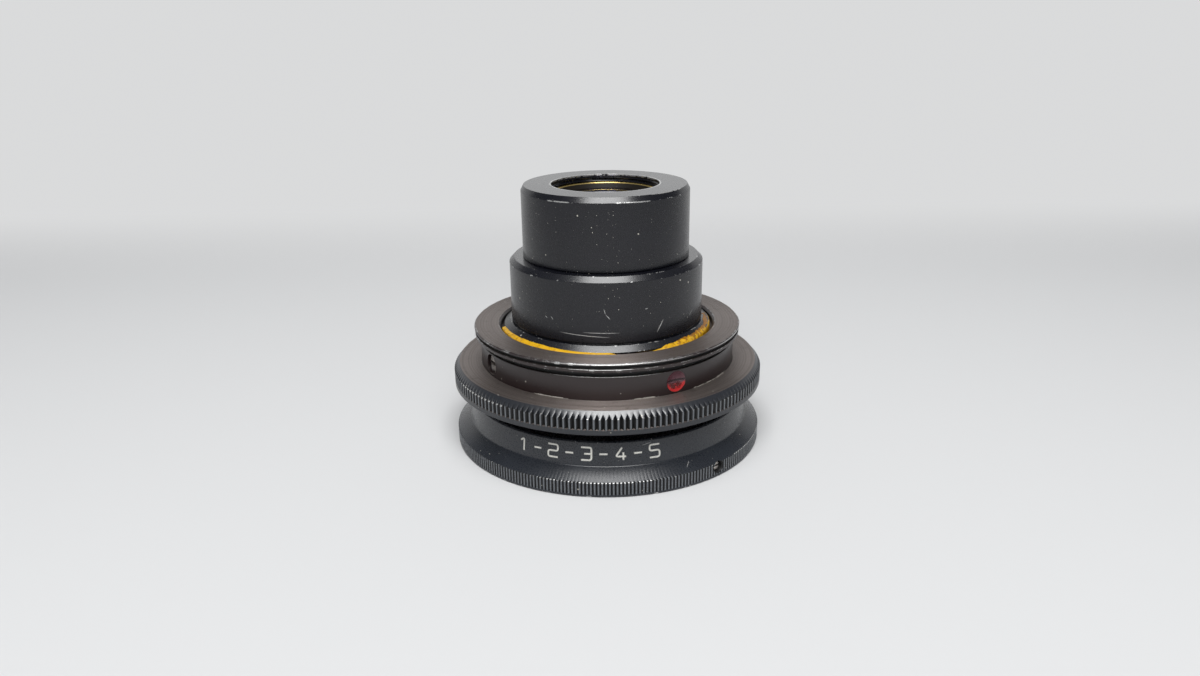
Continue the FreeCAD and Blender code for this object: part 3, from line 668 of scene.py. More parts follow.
    def surface(self, colour, rough, metal=0.0, relief=None, normal=None, **constants):
        """Finish the material. Relief is a height in millimetres on top of the normal."""
        inputs = {"Base Color": colour if isinstance(colour, Value) else (*colour[:3], 1),
                  "Roughness": rough, "Metallic": metal}
        if relief is not None:
            bump = {"Strength": 1.0, "Distance": MM, "Height": relief}
            if normal is not None:
                bump["Normal"] = normal
            inputs["Normal"] = self.node("ShaderNodeBump", {}, bump)
        inputs.update({name.replace("_", " "): number for name, number in constants.items()})
        shader = self.node("ShaderNodeBsdfPrincipled", {}, inputs)
        self.node("ShaderNodeOutputMaterial", {}, {"Surface": shader})
        return self.material


# Finishes

LAMP_SIDE = (0, 52)  # middle and half of the sector that catches the front softbox, in degrees


def enamel(name, base, circles, scratches=(), rims=(), knurl=None, dust=0.5, burnish=0.8):
    """Satin black enamel, burnished on upper faces, chipped along edges and bare on rims.

    A rim is the width of its wear in millimetres with the circles that it follows.
    """
    finish = Finish(name)
    cloud = finish.noise(5.0, detail=3.0)
    grain = finish.noise(0.2, detail=3.0)
    bare = finish.worn(circles, width=0.15, share=0.5)
    for width, edges in rims:
        bare = bare | finish.worn(edges, width, share=0.9)
    for scratch in scratches:
        bare = bare | finish.scratch(*scratch)
    specks = (finish.specks(spacing=1.4, size=0.3, share=0.32 * dust)
              | finish.specks(spacing=0.7, size=0.16, share=0.4 * dust, shift=7.0)
              | finish.specks(spacing=0.4, size=0.085, share=0.45 * dust, shift=2.0))
    coat = finish.mix(cloud, shade(base, 0.7), shade(base, 1.4))
    rough = 0.19 + grain * 0.12 + cloud * 0.06 + specks * 0.3
    if knurl:
        coat, grooves = finish.knurl(coat, grain, *knurl)
        # Painted shade: the knurl's grooves are darkened to near black.
        coat = finish.mix(grooves, coat, finish.colours.grime_and_shade)
        rough = rough + grooves * 0.4
    coat = finish.mix(specks * 0.8, coat, finish.colours.dust)
    coat = finish.mix(bare, coat, finish.colours.aluminium)
    relief = grain * 0.0012 - bare * 0.004 + specks * 0.01
    upper = finish.level() | finish.fade(finish.rise, 0.2, 0.4) * finish.near(*LAMP_SIDE)
    return finish.surface(
        coat, rough, bare * 0.7, relief, Specular_IOR_Level=0.55,
        Coat_Weight=upper * burnish, Coat_Roughness=0.27, Coat_IOR=1.6)


def anodised(name, circles, wall=None, rims=(), knurl=None, grooves=(), seams=(), debris=0.0):
    """Brown-black anodised aluminium, rubbed bare along its edges, with debris in its corners and
    painted glints.

    A rim is the width of its wear in millimetres with the circles that it follows. A groove is
    a radius, a foot and a top, and is painted dark inside as shade. Dust and a painted highlight
    lie along the seams.
    """
    finish = Finish(name)
    colours = finish.colours
    wall = wall or colours.anodised
    face = finish.level()
    cloud = finish.noise(6.0, detail=3.0, warp=0.5)
    grain = finish.noise(0.12, detail=2.0)
    rubbed = finish.worn(circles, width=0.09, share=0.62)
    for width, edges in rims:
        rubbed = rubbed | finish.worn(edges, width, share=1.0)

    neck_corner = finish.fade(finish.radius, 20.6, 19.2)
    neck_corner = neck_corner * (0.4 + 0.8 * finish.near(middle=38, half=16))
    # Painted glints: pale specks on the left of the coarse knurl's teeth, mixed in as debris.
    teeth = finish.fade(finish.radius, 22.0, 22.4) * finish.near(middle=-52, half=20)
    debris_and_glints = (neck_corner | teeth) * debris
    specks = (finish.specks(spacing=1.2, size=0.32, share=0.12 + 0.6 * debris_and_glints, shift=3.0)
              | finish.specks(spacing=0.7, size=0.17, share=0.18 + 0.4 * debris_and_glints, shift=9.0))
    if seams:
        # Pale dust and a painted highlight along the seams, both in the dust colour.
        specks = specks | finish.worn(seams, width=0.15, share=0.85)

    stain = finish.fade(finish.noise(1.6, detail=4.0, rough=0.65), 0.56, 0.72)
    lines = finish.fade(finish.streaks(0.3), 0.42, 0.62)
    dull = stain * 0.3 + cloud * 0.15 + lines * 0.25
    coat = finish.mix(face, wall, colours.turned_face)
    coat = finish.mix(dull, coat, shade(colours.turned_face, 0.3))
    coat = finish.mix(1 - face, coat, wall)
    # Painted shade: the given grooves and the knurl's grooves are darkened to near black.
    groove_shade = 0.0
    for radius, foot, top in grooves:
        inside = finish.fade(finish.radius, radius / MM + 0.03, radius / MM - 0.03)
        above = finish.fade(finish.height, foot / MM - 0.02, foot / MM + 0.02)
        below = finish.fade(finish.height, top / MM + 0.02, top / MM - 0.02)
        groove_shade = inside * above * below | groove_shade
    if knurl:
        coat, between = finish.knurl(coat, grain, *knurl)
        groove_shade = between | groove_shade
    coat = finish.mix(groove_shade, coat, colours.grime_and_shade)
    coat = finish.mix(specks * 0.7, coat, colours.dust)
    coat = finish.mix(rubbed * 0.9, coat, colours.aluminium)
    rough = 0.3 + groove_shade * 0.3 + face * 0.06 + grain * 0.1 + specks * 0.3 - rubbed * 0.08
    metal = 0.9 * face * (1 - specks) | 0.8 * rubbed
    relief = grain * 0.0012 + specks * 0.02 - rubbed * 0.004
    return finish.surface(
        coat, rough, metal, relief, finish.tool_marks(spacing=0.02, tilt=5.6 * face),
        Coat_Weight=finish.chamfers() * finish.near(*LAMP_SIDE), Coat_Roughness=0.28,
        Coat_IOR=1.65, Specular_IOR_Level=0.65)


def cell_black(name):
    """Matt black anodised inside of the cells, with a little dust."""
    finish = Finish(name)
    grain = finish.noise(0.15)
    specks = finish.specks(spacing=1.1, size=0.08, share=0.1)
    coat = finish.mix(specks * 0.5, finish.colours.cell_black, finish.colours.dust)
    return finish.surface(coat, 0.5 + grain * 0.15, 0.0, grain * 0.002, Specular_IOR_Level=0.45)


def blackened_brass(name, circles):
    """Blackened brass ring, bare where it is worn."""
    finish = Finish(name)
    grain = finish.noise(0.2)
    bare = finish.worn(circles, width=0.34, share=1.2)
    coat = finish.mix(bare, finish.colours.blackened, finish.colours.brass)
    rough = 0.42 - bare * 0.2 + grain * 0.1
    return finish.surface(coat, rough, bare, grain * 0.002, Specular_IOR_Level=0.15)


def bare_steel():
    """Turned steel, dull and rusty in random blotches."""
    finish = Finish("set screw steel")
    grime_and_shade = finish.fade(finish.noise(0.5, detail=4.0, rough=0.7), 0.42, 0.62)
    grain = finish.noise(0.06)
    rust = (0.12, 0.07, 0.045)
    coat = finish.mix(grime_and_shade * 0.5, finish.colours.steel, rust)
    return finish.surface(coat, 0.22 + grime_and_shade * 0.3 + grain * 0.1, 1 - grime_and_shade * 0.4, grain * 0.003)


def coated_glass(name):
    """Polished glass with a little dust on its coating."""
    finish = Finish(name)
    dust = finish.specks(spacing=0.9, size=0.05, share=0.12)
    return finish.surface(
        finish.colours.glass, dust * 0.5, 0.0, None, Transmission_Weight=1.0, IOR=1.6,
        Coat_Weight=0.4, Coat_Roughness=0.02, Coat_Tint=(0.72, 0.66, 1.0, 1))


def red_varnish(middle, height, neck):
    """Clear red varnish over a slotted screw, with a painted mauve reflection above, painted shade
    and a painted red highlight below, and the slot's painted shadow.
    """
    finish = Finish("red varnish")
    colours = finish.colours
    level = finish.height - height / MM
    aside = (finish.turn - middle) * (neck / MM)
    ripple = finish.noise(0.35, detail=3.0, warp=0.8)
    # Painted light: the upper part takes the painted mauve reflection, the lower part painted
    # dark-red shade with a painted red highlight.
    low = finish.fade(level + ripple * 0.8, 0.35, -0.1)
    # Painted highlight: a bright red crescent round the edge of the drop, plus bright patches from
    # the noise.
    rim = finish.fade((level * level + aside * aside) ** 0.5 + ripple * 0.7, 1.35, 1.65)
    bright = rim | finish.fade(ripple, 0.56, 0.64)
    # Painted shadow of the screw's slot, seen through the varnish.
    slot = finish.fade(finish.math("ABSOLUTE", level - 0.1 + (ripple - 0.5) * 0.3), 0.2, 0.08)
    slot_shadow = (0.02, 0.003, 0.006)
    # Lit and shaded copies of the red varnish: painted highlight and painted shade.
    foot = finish.mix(bright, shade(colours.varnish, 0.2), colours.varnish)
    coat = finish.mix(low, colours.varnish_reflection, foot)
    coat = finish.mix(slot * 0.85, coat, slot_shadow)
    return finish.surface(
        coat, 0.06 + ripple * 0.06, 0.0, ripple * 0.05, Transmission_Weight=0.45, IOR=1.5)


def amber_adhesive():
    """Amber adhesive, deeper where it is thick, with a ragged skin and a few bubbles."""
    finish = Finish("amber adhesive")
    ragged = (finish.fade(finish.turn, math.radians(10), math.radians(50))
              | finish.fade(finish.turn, math.radians(-42), math.radians(-62)) * 0.6)
    upper = finish.fade(finish.radius, 15.3, 14.6) * ragged
    blots = finish.noise(0.7, detail=4.0, rough=0.65)
    thick = finish.fade(blots + upper * 0.2 + ragged * 0.06, 0.5, 0.68)
    skin = finish.noise(0.3, detail=4.0, rough=0.7, warp=0.5)
    bubbles = finish.specks(spacing=0.5, size=0.12, share=0.12 + 0.3 * ragged)
    bubble_colour = (0.85, 0.7, 0.35)
    coat = finish.mix(
        thick * (0.35 + ragged * 0.55), finish.colours.adhesive, finish.colours.deep_adhesive)
    coat = finish.mix(bubbles * 0.5, coat, bubble_colour)
    relief = skin * (0.01 + ragged * 0.05) + bubbles * 0.02
    return finish.surface(
        coat, 0.3 + skin * 0.2, 0.0, relief, Subsurface_Weight=0.1, Subsurface_Scale=0.0004,
        Subsurface_Radius=(1.0, 0.6, 0.15), Specular_IOR_Level=0.35)


def marking_paint():
    """Cream paint in the engraving, rubbed thin in places."""
    finish = Finish("marking paint")
    paint = finish.colours.paint
    rubbed = finish.fade(finish.noise(0.3, detail=4.0, rough=0.7), 0.5, 0.75)
    coat = finish.mix(rubbed * 0.3, paint, shade(paint, 0.35))
    return finish.surface(coat, 0.5 + rubbed * 0.2, 0.0, rubbed * 0.004)


# Operators for the pieces


class MACROLENS_OT_front_ring(Operator):
    """Build the front ring with its fine knurl, cove and band"""

    bl_idname = "macro_lens.front_ring"
    bl_label = "Front Ring"

    def execute(self, context):
        sizes = settings().front_ring
        crest, root = RING_R, RING_R - sizes.tooth_depth
        foot_chamfer, band_edge, countersink = 0.12 * MM, 0.18 * MM, 0.2 * MM
        cove_round = 0.25 * MM
        cove_slope = (sizes.cove_height - sizes.rim) / (crest - sizes.cove_radius)
        piece = knurled("name_ring_visual", [
            (sizes.bore, 0),
            (crest - foot_chamfer, 0),
            (crest, foot_chamfer),
            (crest, sizes.land, 0),
            (crest, sizes.land + 2 * TEETH_START, 0),
            (crest, sizes.rim),
            (root, sizes.rim + cove_slope * sizes.tooth_depth, 0),
            (sizes.cove_radius, sizes.cove_height, cove_round),
            (sizes.band_radius, RING_TOP - band_edge),
            (sizes.band_radius - band_edge, RING_TOP),
            (sizes.bore, RING_TOP),
        ], crest, sizes.tooth_depth, sizes.tooth_gap, sizes.land + TEETH_START, sizes.teeth)
        start, end = sizes.bore - MM, crest + MM
        hole = turned("hole", [
            (0, start),
            (sizes.screw_radius, start),
            (sizes.screw_radius, crest - countersink),
            (sizes.screw_radius + countersink, crest),
            (sizes.screw_radius + countersink, end),
            (0, end),
        ], edge=0, columns=48)
        hole.data.transform(radial(sizes.screw_angle, sizes.screw_height))
        cut(piece, hole)
        circles = [(crest, sizes.rim), (crest, foot_chamfer),
                   (sizes.band_radius, RING_TOP - 0.1 * MM)]
        scratches = [(21.2, (28, 2.6), (30, 3.1), 0.05), (20.8, (12, 6.2), (16, 6.5), 0.03)]
        rims = [(0.09, [(crest, sizes.rim, -6, 24), (crest, sizes.rim, 62, 16)])]
        coat = enamel("front ring enamel", settings().colours.ring_enamel, circles, scratches,
                      rims, knurl=(crest, sizes.land, sizes.rim), dust=0.6, burnish=0.2)
        place(piece, "lens", "ring_enamel", coat, "name_ring")
        return {"FINISHED"}


DIGIT_STROKES = {
    "1": [[(0.15, 0.78), (0.55, 1), (0.55, 0)]],
    "2": [[(0, 1), (1, 1), (1, 0.5), (0, 0.5), (0, 0), (1, 0)]],
    "3": [[(0, 1), (1, 1), (1, 0), (0, 0)], [(0.3, 0.5), (1, 0.5)]],
    "4": [[(0.62, 1), (0, 0.3), (1, 0.3)], [(0.74, 0.62), (0.74, 0)]],
    "5": [[(1, 1), (0, 1), (0, 0.54), (1, 0.54), (1, 0), (0, 0)]],
    "-": [[(0.05, 0.5), (0.95, 0.5)]],
}


def stroke_path(corners, rounding, step):
    """Points along a stroke through its corners, with the inner corners rounded."""
    path = [np.array(corners[0])]
    for before, here, after in zip(corners, corners[1:], corners[2:]):
        before, here, after = map(np.array, (before, here, after))
        back = (before - here) / np.linalg.norm(before - here)
        on = (after - here) / np.linalg.norm(after - here)
        for share in np.linspace(0, 1, 5):
            path.append(here + rounding * ((1 - share) ** 2 * back + share ** 2 * on))
    path.append(np.array(corners[-1]))
    dense = [path[0]]
    for start, end in zip(path, path[1:]):
        count = max(int(np.linalg.norm(end - start) / step), 1)
        dense.extend(start + (end - start) * number / count for number in range(1, count + 1))
    return np.array(dense)


class MACROLENS_OT_band_numbers(Operator):
    """Lay the painted numbers into the front ring's band"""

    bl_idname = "macro_lens.band_numbers"
    bl_label = "Band Numbers"

    def execute(self, context):
        sizes, ring = settings().marking, settings().front_ring
        slope = (ring.band_radius - ring.cove_radius) / (RING_TOP - ring.cove_height)
        dash_share, rounding, step = 0.86, 0.32 * MM, 0.12 * MM
        proud, thickness = 0.012 * MM, 0.03 * MM
        points, faces = [], []
        across = np.linspace(-1, 1, 5)
        for number, mark in enumerate(sizes.text):
            centre = sizes.start * ring.cove_radius + number * sizes.spacing
            width = sizes.width * (dash_share if mark == "-" else 1)
            for corners in DIGIT_STROKES[mark]:
                path = stroke_path(
                    [(x * width, y * sizes.height) for x, y in corners], rounding, step)
                ahead = np.gradient(path, axis=0)
                ahead /= np.linalg.norm(ahead, axis=1, keepdims=True)
                side = np.stack([-ahead[:, 1], ahead[:, 0]], axis=1)
                first = len(points)
                for spot, aside in zip(path, side):
                    for share in across:
                        u, v = spot + aside * share * sizes.stroke / 2
                        height = sizes.foot + v
                        dome = proud * (1 - share ** 2)
                        radius = ring.cove_radius + slope * (height - ring.cove_height) + dome
                        turn = (centre + u - width / 2) / ring.cove_radius - math.pi / 2
                        points.append((radius * math.cos(turn), radius * math.sin(turn), height))
                rows, columns = len(path), len(across)
                for row in range(rows - 1):
                    for column in range(columns - 1):
                        at = first + row * columns + column
                        faces.append((at, at + columns, at + columns + 1, at + 1))
        piece = new_piece("band_numbers", points, faces)
        solid = piece.modifiers.new("depth", "SOLIDIFY")
        solid.thickness = thickness
        solid.offset = -1
        place(piece, "lens", "ring_enamel", marking_paint())
        return {"FINISHED"}


class MACROLENS_OT_main_barrel(Operator):
    """Build the main barrel with its front and mount threads"""

    bl_idname = "macro_lens.main_barrel"
    bl_label = "Main Barrel"

    def execute(self, context):
        sizes = settings().barrel
        mount_run, mouth = 3.2 * MM, 0.3 * MM
        mount_foot, cup_foot = sizes.thread_top - mount_run, CUP_FOOT + mouth
        mount_depth, front_depth = 0.35 * MM, 0.27 * MM
        tier_edge = sizes.tier_radius - sizes.tier_chamfer
        tier_foot, tier_round = 0.03 * MM, 0.08 * MM
        piece = turned("main_barrel_visual", [
            (sizes.cell_bore, sizes.cup_floor),
            (sizes.cup_bore, sizes.cup_floor),
            *thread_rows(sizes.cup_bore, sizes.cup_floor, cup_foot, FINE_PITCH),
            (sizes.cup_bore, cup_foot, 0),
            (sizes.cup_bore + mouth, CUP_FOOT),
            (CUP_R, CUP_FOOT),
            (CUP_R, sizes.shoulder),
            (sizes.thread_radius, sizes.shoulder),
            (sizes.thread_radius, mount_foot, 0),
            *thread_rows(sizes.thread_radius, mount_foot, sizes.thread_top, MOUNT_PITCH),
            (sizes.thread_radius, sizes.thread_top),
            (sizes.lead_radius, sizes.lead_top),
            (sizes.relief_radius, sizes.lead_top),
            (sizes.relief_radius, sizes.relief_top),
            (sizes.tier_radius, sizes.relief_top, tier_foot),
            (sizes.tier_radius, BARREL_TOP - sizes.tier_chamfer, tier_round),
            (tier_edge, BARREL_TOP, tier_round),
            *machined((tier_edge, BARREL_TOP), (CELL_R, BARREL_TOP), *ENAMEL_MARKS, seed=11),
            (sizes.rear_bore, BARREL_TOP),
            (sizes.rear_bore, sizes.web_top),
            (sizes.web_bore, sizes.web_top),
            (sizes.web_bore, sizes.web_foot),
            (sizes.cell_bore, sizes.web_foot),
        ], threads=[
            (sizes.cup_bore, cup_foot, sizes.cup_floor, FINE_PITCH, -front_depth),
            (sizes.thread_radius, mount_foot, sizes.thread_top, MOUNT_PITCH, mount_depth),
        ])
        circles = [
            (sizes.tier_radius, BARREL_TOP - sizes.tier_chamfer),
            (tier_edge, BARREL_TOP),
            (sizes.lead_radius, sizes.lead_top),
            # Bare metal at the front of the thread's edge: wear and a painted glint.
            (sizes.thread_radius, sizes.thread_top, 0, 24)]
        scratches = [(14.1, *scratch) for scratch in (
            ((-28, 19.75), (2, 19.35), 0.07), ((-14, 20.0), (7, 19.95), 0.06),
            ((28.5, 19.4), (33, 21.2), 0.09), ((-2, 23.4), (-1, 22.6), 0.05),
            ((-1, 22.6), (1.5, 21.9), 0.06), ((21, 23.0), (23, 23.1), 0.05),
            ((-37, 21.7), (-35.5, 21.4), 0.06), ((-33, 21.8), (-31.5, 21.3), 0.05),
            ((55, 20.4), (59, 21.2), 0.05))]
        coat = enamel("barrel enamel", settings().colours.enamel, circles, scratches, dust=1.0)
        place(piece, "lens", "barrel_enamel", coat, "main_barrel")
        return {"FINISHED"}


class MACROLENS_OT_rear_cell(Operator):
    """Build the rear cell, its retaining ring and the rear glass"""

    bl_idname = "macro_lens.rear_cell"
    bl_label = "Rear Cell"

    def execute(self, context):
        sizes = settings().barrel
        shoulder = BARREL_TOP + FIT
        mouth = REAR_FACE - 0.25 * MM
        top_edge = CELL_R - sizes.cell_chamfer_width
        chamfer_foot = REAR_FACE - sizes.cell_chamfer_height
        chamfer_round, opening_round = 0.1 * MM, 0.06 * MM
        piece = turned("rear_cell_visual", [
            (sizes.pair_bore, CELL_FOOT),
            (sizes.spigot, CELL_FOOT),
            (sizes.spigot, shoulder),
            (CELL_R - sizes.cell_foot_chamfer, shoulder, FINE_EDGE),
            (CELL_R, shoulder + sizes.cell_foot_chamfer, FINE_EDGE),
            (CELL_R, chamfer_foot, chamfer_round),
            (top_edge, REAR_FACE, chamfer_round),
            *machined((top_edge, REAR_FACE), (sizes.opening, REAR_FACE), *ENAMEL_MARKS, seed=3),
            (sizes.opening, REAR_FACE, opening_round),
            (sizes.opening, mouth, 0),
            *thread_rows(sizes.opening, mouth, REAR_RING_FOOT, FINE_PITCH),
            (sizes.opening, REAR_RING_FOOT, 0),
            (sizes.opening, REAR_GLASS_FOOT - FIT),
            (sizes.light, REAR_GLASS_FOOT - FIT),
            (sizes.light, sizes.pair_seat),
            (sizes.pair_bore, sizes.pair_seat),
        ], threads=[(sizes.opening, REAR_RING_FOOT, mouth, FINE_PITCH, -CELL_THREAD_DEPTH)])
        circles = [(CELL_R, chamfer_foot, -26, 12), (CELL_R, chamfer_foot, 48, 20),
                   (CELL_R, chamfer_foot, 0, 20), (top_edge, REAR_FACE, 30, 25)]
        rims = [(0.28, [(sizes.opening, REAR_FACE)]),
                (0.1, [(CELL_R, chamfer_foot, -32, 9), (CELL_R, chamfer_foot, 18, 12),
                       (top_edge, REAR_FACE, 48, 16)])]
        coat = enamel("rear cell enamel", settings().colours.enamel, circles, rims=rims, dust=1.0)
        place(piece, "lens", "barrel_enamel", coat, "rear_cell")

        ring = turned("rear_retaining_ring_visual", [
            (sizes.light, REAR_RING_FOOT),
            (REAR_RING_R, REAR_RING_FOOT),
            (REAR_RING_R, REAR_RING_TOP),
            (REAR_RING_R - sizes.ring_land, REAR_RING_TOP),
            (sizes.light, REAR_RING_FOOT + sizes.ring_lip),
        ], edge=FINE_EDGE)
        brass = blackened_brass(
            "rear ring brass", [(REAR_RING_R - sizes.ring_land / 2, REAR_RING_TOP)])
        place(ring, "lens", "blackened_brass", brass, "rear_retaining_ring")

        dome_radius, foot_edge = 30 * MM, 0.05 * MM
        glass = turned("rear_glass_visual", [
            *polished(REAR_GLASS_TOP, -dome_radius, REAR_GLASS_R),
            (REAR_GLASS_R, REAR_GLASS_FOOT + foot_edge),
            (REAR_GLASS_R - foot_edge, REAR_GLASS_FOOT),
            (0, REAR_GLASS_FOOT),
        ], edge=0)
        place(glass, "lens", "coated_glass", coated_glass("rear glass"), "rear_element_outer")
        return {"FINISHED"}


class MACROLENS_OT_front_cell(Operator):
    """Build the front cell, its retaining ring and the front glass"""

    bl_idname = "macro_lens.front_cell"
    bl_label = "Front Cell"

    def execute(self, context):
        glass_bore = FRONT_GLASS_R + FIT
        seat = FRONT_GLASS_TOP + FIT
        light, inner_light, inner_bore = 9.8 * MM, 8 * MM, 9.02 * MM
        web = 1.3 * MM
        piece = turned("front_cell_visual", [
            (glass_bore, FRONT_CELL_FOOT),
            (FRONT_CELL_R, FRONT_CELL_FOOT),
            (FRONT_CELL_R, FRONT_CELL_TOP),
            (inner_bore, FRONT_CELL_TOP),
            (inner_bore, seat + web),
            (inner_light, seat + web, FINE_EDGE),
            (inner_light, seat + web / 2, FINE_EDGE),
            (light, seat, FINE_EDGE),
            (glass_bore, seat, FINE_EDGE),
            *thread_rows(glass_bore, seat, FRONT_CELL_FOOT, FINE_PITCH),
        ], threads=[(glass_bore, FRONT_CELL_FOOT, FRONT_RING_TOP, FINE_PITCH, -CELL_THREAD_DEPTH)])
        place(piece, "lens", "cell_black", cell_black("front cell black"), "front_cell")

        ring_light, chamfer = FRONT_RING_R - 0.85 * MM, 0.3 * MM
        ring = turned("front_retaining_ring_visual", [
            (ring_light + chamfer, FRONT_RING_FOOT),
            (FRONT_RING_R, FRONT_RING_FOOT),
            (FRONT_RING_R, FRONT_RING_TOP),
            (ring_light, FRONT_RING_TOP),
            (ring_light, FRONT_RING_FOOT + chamfer),
        ], edge=FINE_EDGE)
        slot_length, slot_width, slot_depth = 2.5 * FRONT_RING_R, 1 * MM, 0.6 * MM
        cut_slot(ring, FRONT_RING_FOOT, slot_width, slot_length, slot_depth)
        brass = blackened_brass("front ring brass", [(ring_light + chamfer, FRONT_RING_FOOT)])
        place(ring, "lens", "blackened_brass", brass, "front_retaining_ring")

        front_radius, back_radius, thickness = 34 * MM, 80 * MM, 3.4 * MM
        back = polished(FRONT_GLASS_FOOT + thickness, back_radius, FRONT_GLASS_R)
        glass = turned("front_glass_visual", [
            *polished(FRONT_GLASS_FOOT, front_radius, FRONT_GLASS_R), *reversed(back)], edge=0)
        place(glass, "lens", "coated_glass", coated_glass("front glass"), "front_element_outer")
        return {"FINISHED"}


class MACROLENS_OT_adapter_shell(Operator):
    """Build the adapter shell with its screw holes, and the threaded insert inside it"""

    bl_idname = "macro_lens.adapter_shell"
    bl_label = "Adapter Shell"

    def execute(self, context):
        sizes = settings().adapter
        inner, outer = sizes.lip_bore + sizes.lip_chamfer, FLANGE_R - sizes.flange_chamfer
        flange_edge = FLANGE_TOP - sizes.flange_chamfer
        neck_round, undercut_round = 0.06 * MM, 0.1 * MM
        piece = turned("mount_shell_visual", [
            (sizes.bore, SHELL_FOOT),
            (sizes.neck, SHELL_FOOT),
            (sizes.neck, sizes.neck_top, neck_round),
            (sizes.undercut, sizes.neck_top, undercut_round),
            (sizes.undercut, sizes.ridge_foot),
            (sizes.ridge, sizes.ridge_foot),
            (sizes.ridge, sizes.groove_foot),
            (sizes.groove, sizes.groove_foot),
            (sizes.groove, sizes.groove_top),
            (FLANGE_R, sizes.groove_top),
            (FLANGE_R, flange_edge),
            (outer, FLANGE_TOP),
            *machined((outer, FLANGE_TOP), (inner, FLANGE_TOP), *FLANGE_MARKS, seed=5),
            (inner, FLANGE_TOP),
            (sizes.lip_bore, FLANGE_TOP - sizes.lip_chamfer),
            (sizes.lip_bore, sizes.lip_foot),
            (sizes.bore, sizes.lip_foot),
        ])
        start, end = sizes.bore - MM, sizes.neck + MM
        run_in, thread_depth = 0.1 * MM, 0.08 * MM
        thread = (sizes.clamp_radius, start, sizes.neck - run_in, FINE_PITCH, -thread_depth)
        for quarter in range(4):
            hole = turned("hole", [
                (0, start),
                (sizes.clamp_radius, start),
                *thread_rows(sizes.clamp_radius, start, end, FINE_PITCH),
                (sizes.clamp_radius, end),
                (0, end),
            ], [thread], edge=0, columns=64)
            turn = sizes.index_angle + quarter * math.pi / 2
            hole.data.transform(radial(turn, sizes.clamp_height))
            cut(piece, hole)
        flange, ridge = (FLANGE_R, flange_edge), (sizes.ridge, sizes.groove_foot)
        circles = [flange, (outer, FLANGE_TOP), ridge, (sizes.ridge, sizes.ridge_foot),
                   (inner, FLANGE_TOP)]
        # Painted shade: the flange's groove and the undercut over the neck are darkened.
        grooves = [(FLANGE_R + 0.1 * MM, sizes.groove_foot, sizes.groove_top + 0.1 * MM),
                   (sizes.neck - 0.1 * MM, sizes.neck_top, sizes.ridge_foot + 0.04 * MM)]
        rims = [(0.07, [(*flange, 4, 30), (*flange, 62, 20), (*ridge, -4, 14),
                        (sizes.neck, sizes.neck_top, 0, 26)]),
                (0.2, [(*flange, -20, 1.2), (*flange, -14.5, 1), (*ridge, -6.5, 1),
                       (*ridge, 4, 1.2)])]
        # Dust and a painted highlight along the neck's foot at the grip ring's top.
        seams = [(sizes.neck, GRIP_TOP, *sector) for sector in ((52, 14), (14, 6), (-24, 8))]
        coat = anodised(
            "shell anodised", circles, rims=rims, grooves=grooves, seams=seams, debris=0.4)
        place(piece, "adapter", "adapter_anodised", coat, "mount_shell")

        top_edge = (INSERT_R, INSERT_TOP)
        insert = turned("threaded_insert_visual", [
            (sizes.insert_bore, INSERT_FOOT),
            (INSERT_R, INSERT_FOOT),
            (INSERT_R, sizes.clamp_height - sizes.insert_groove),
            (INSERT_R - sizes.insert_groove, sizes.clamp_height),
            (INSERT_R, sizes.clamp_height + sizes.insert_groove),
            top_edge,
            *machined(top_edge, (sizes.insert_bore, INSERT_TOP), *RING_MARKS, seed=8),
            (sizes.insert_bore, INSERT_TOP),
        ])
        place(insert, "lens", "adapter_anodised", anodised("insert anodised", [top_edge]),
              "threaded_insert")
        return {"FINISHED"}


class MACROLENS_OT_grip_ring(Operator):
    """Build the grip ring with its coarse knurl"""

    bl_idname = "macro_lens.grip_ring"
    bl_label = "Grip Ring"

    def execute(self, context):
        sizes = settings().adapter
        bore = sizes.neck + FIT
        bore_round = 0.06 * MM
        top_r = GRIP_R - sizes.top_width
        root = GRIP_R - sizes.tooth_depth
        start = GRIP_FOOT + sizes.land
        knurl_top = GRIP_TOP - sizes.top_height
        root_top = GRIP_TOP - sizes.top_height * (1 - sizes.tooth_depth / sizes.top_width)
        piece = knurled("knurled_ring_visual", [
            (bore, GRIP_FOOT),
            (GRIP_R - sizes.foot_chamfer, GRIP_FOOT),
            (GRIP_R, GRIP_FOOT + sizes.foot_chamfer),
            (GRIP_R, start, 0),
            (GRIP_R, start + 2 * TEETH_START, 0),
            (GRIP_R, knurl_top),
            (root, root_top, 0),
            (top_r, GRIP_TOP),
            *machined((top_r, GRIP_TOP), (bore, GRIP_TOP), *RING_MARKS, seed=6),
            (bore, GRIP_TOP, bore_round),
        ], GRIP_R, sizes.tooth_depth, sizes.tooth_gap, start + TEETH_START, sizes.teeth)
        circles = [(GRIP_R, knurl_top), (bore, GRIP_TOP)]
        # Bare metal on the left of the knurl's top edge: wear and a painted glint.
        rims = [(0.16, [(GRIP_R, knurl_top, -52, 16)])]
        coat = anodised("grip anodised", circles, settings().colours.grip_wall, rims,
                        knurl=(GRIP_R, start, knurl_top), debris=0.8)
        place(piece, "adapter", "adapter_anodised", coat, "knurled_ring")
        return {"FINISHED"}


def set_screw(name, shank, tip, end, slot_width, slot_depth, pitch):
    """Slotted set screw along +Z, from its cone point up to its slotted end."""
    point = 0.2 * shank
    chamfer_width, chamfer_height, thread_depth = 0.24 * MM, 0.2 * MM, 0.1 * MM
    thread_foot, thread_top = tip + shank - point, end - chamfer_height
    piece = turned(name, [
        (0, tip, 0),
        (point, tip),
        (shank, thread_foot),
        *thread_rows(shank, thread_foot, end - 0.22 * MM, pitch),
        (shank, thread_top),
        (shank - chamfer_width, end),
        (0, end, 0),
    ], [(shank, thread_foot, thread_top, pitch, thread_depth)], edge=FINE_EDGE, columns=72)
    cut_slot(piece, end, slot_width, 3 * shank, slot_depth)
    return piece


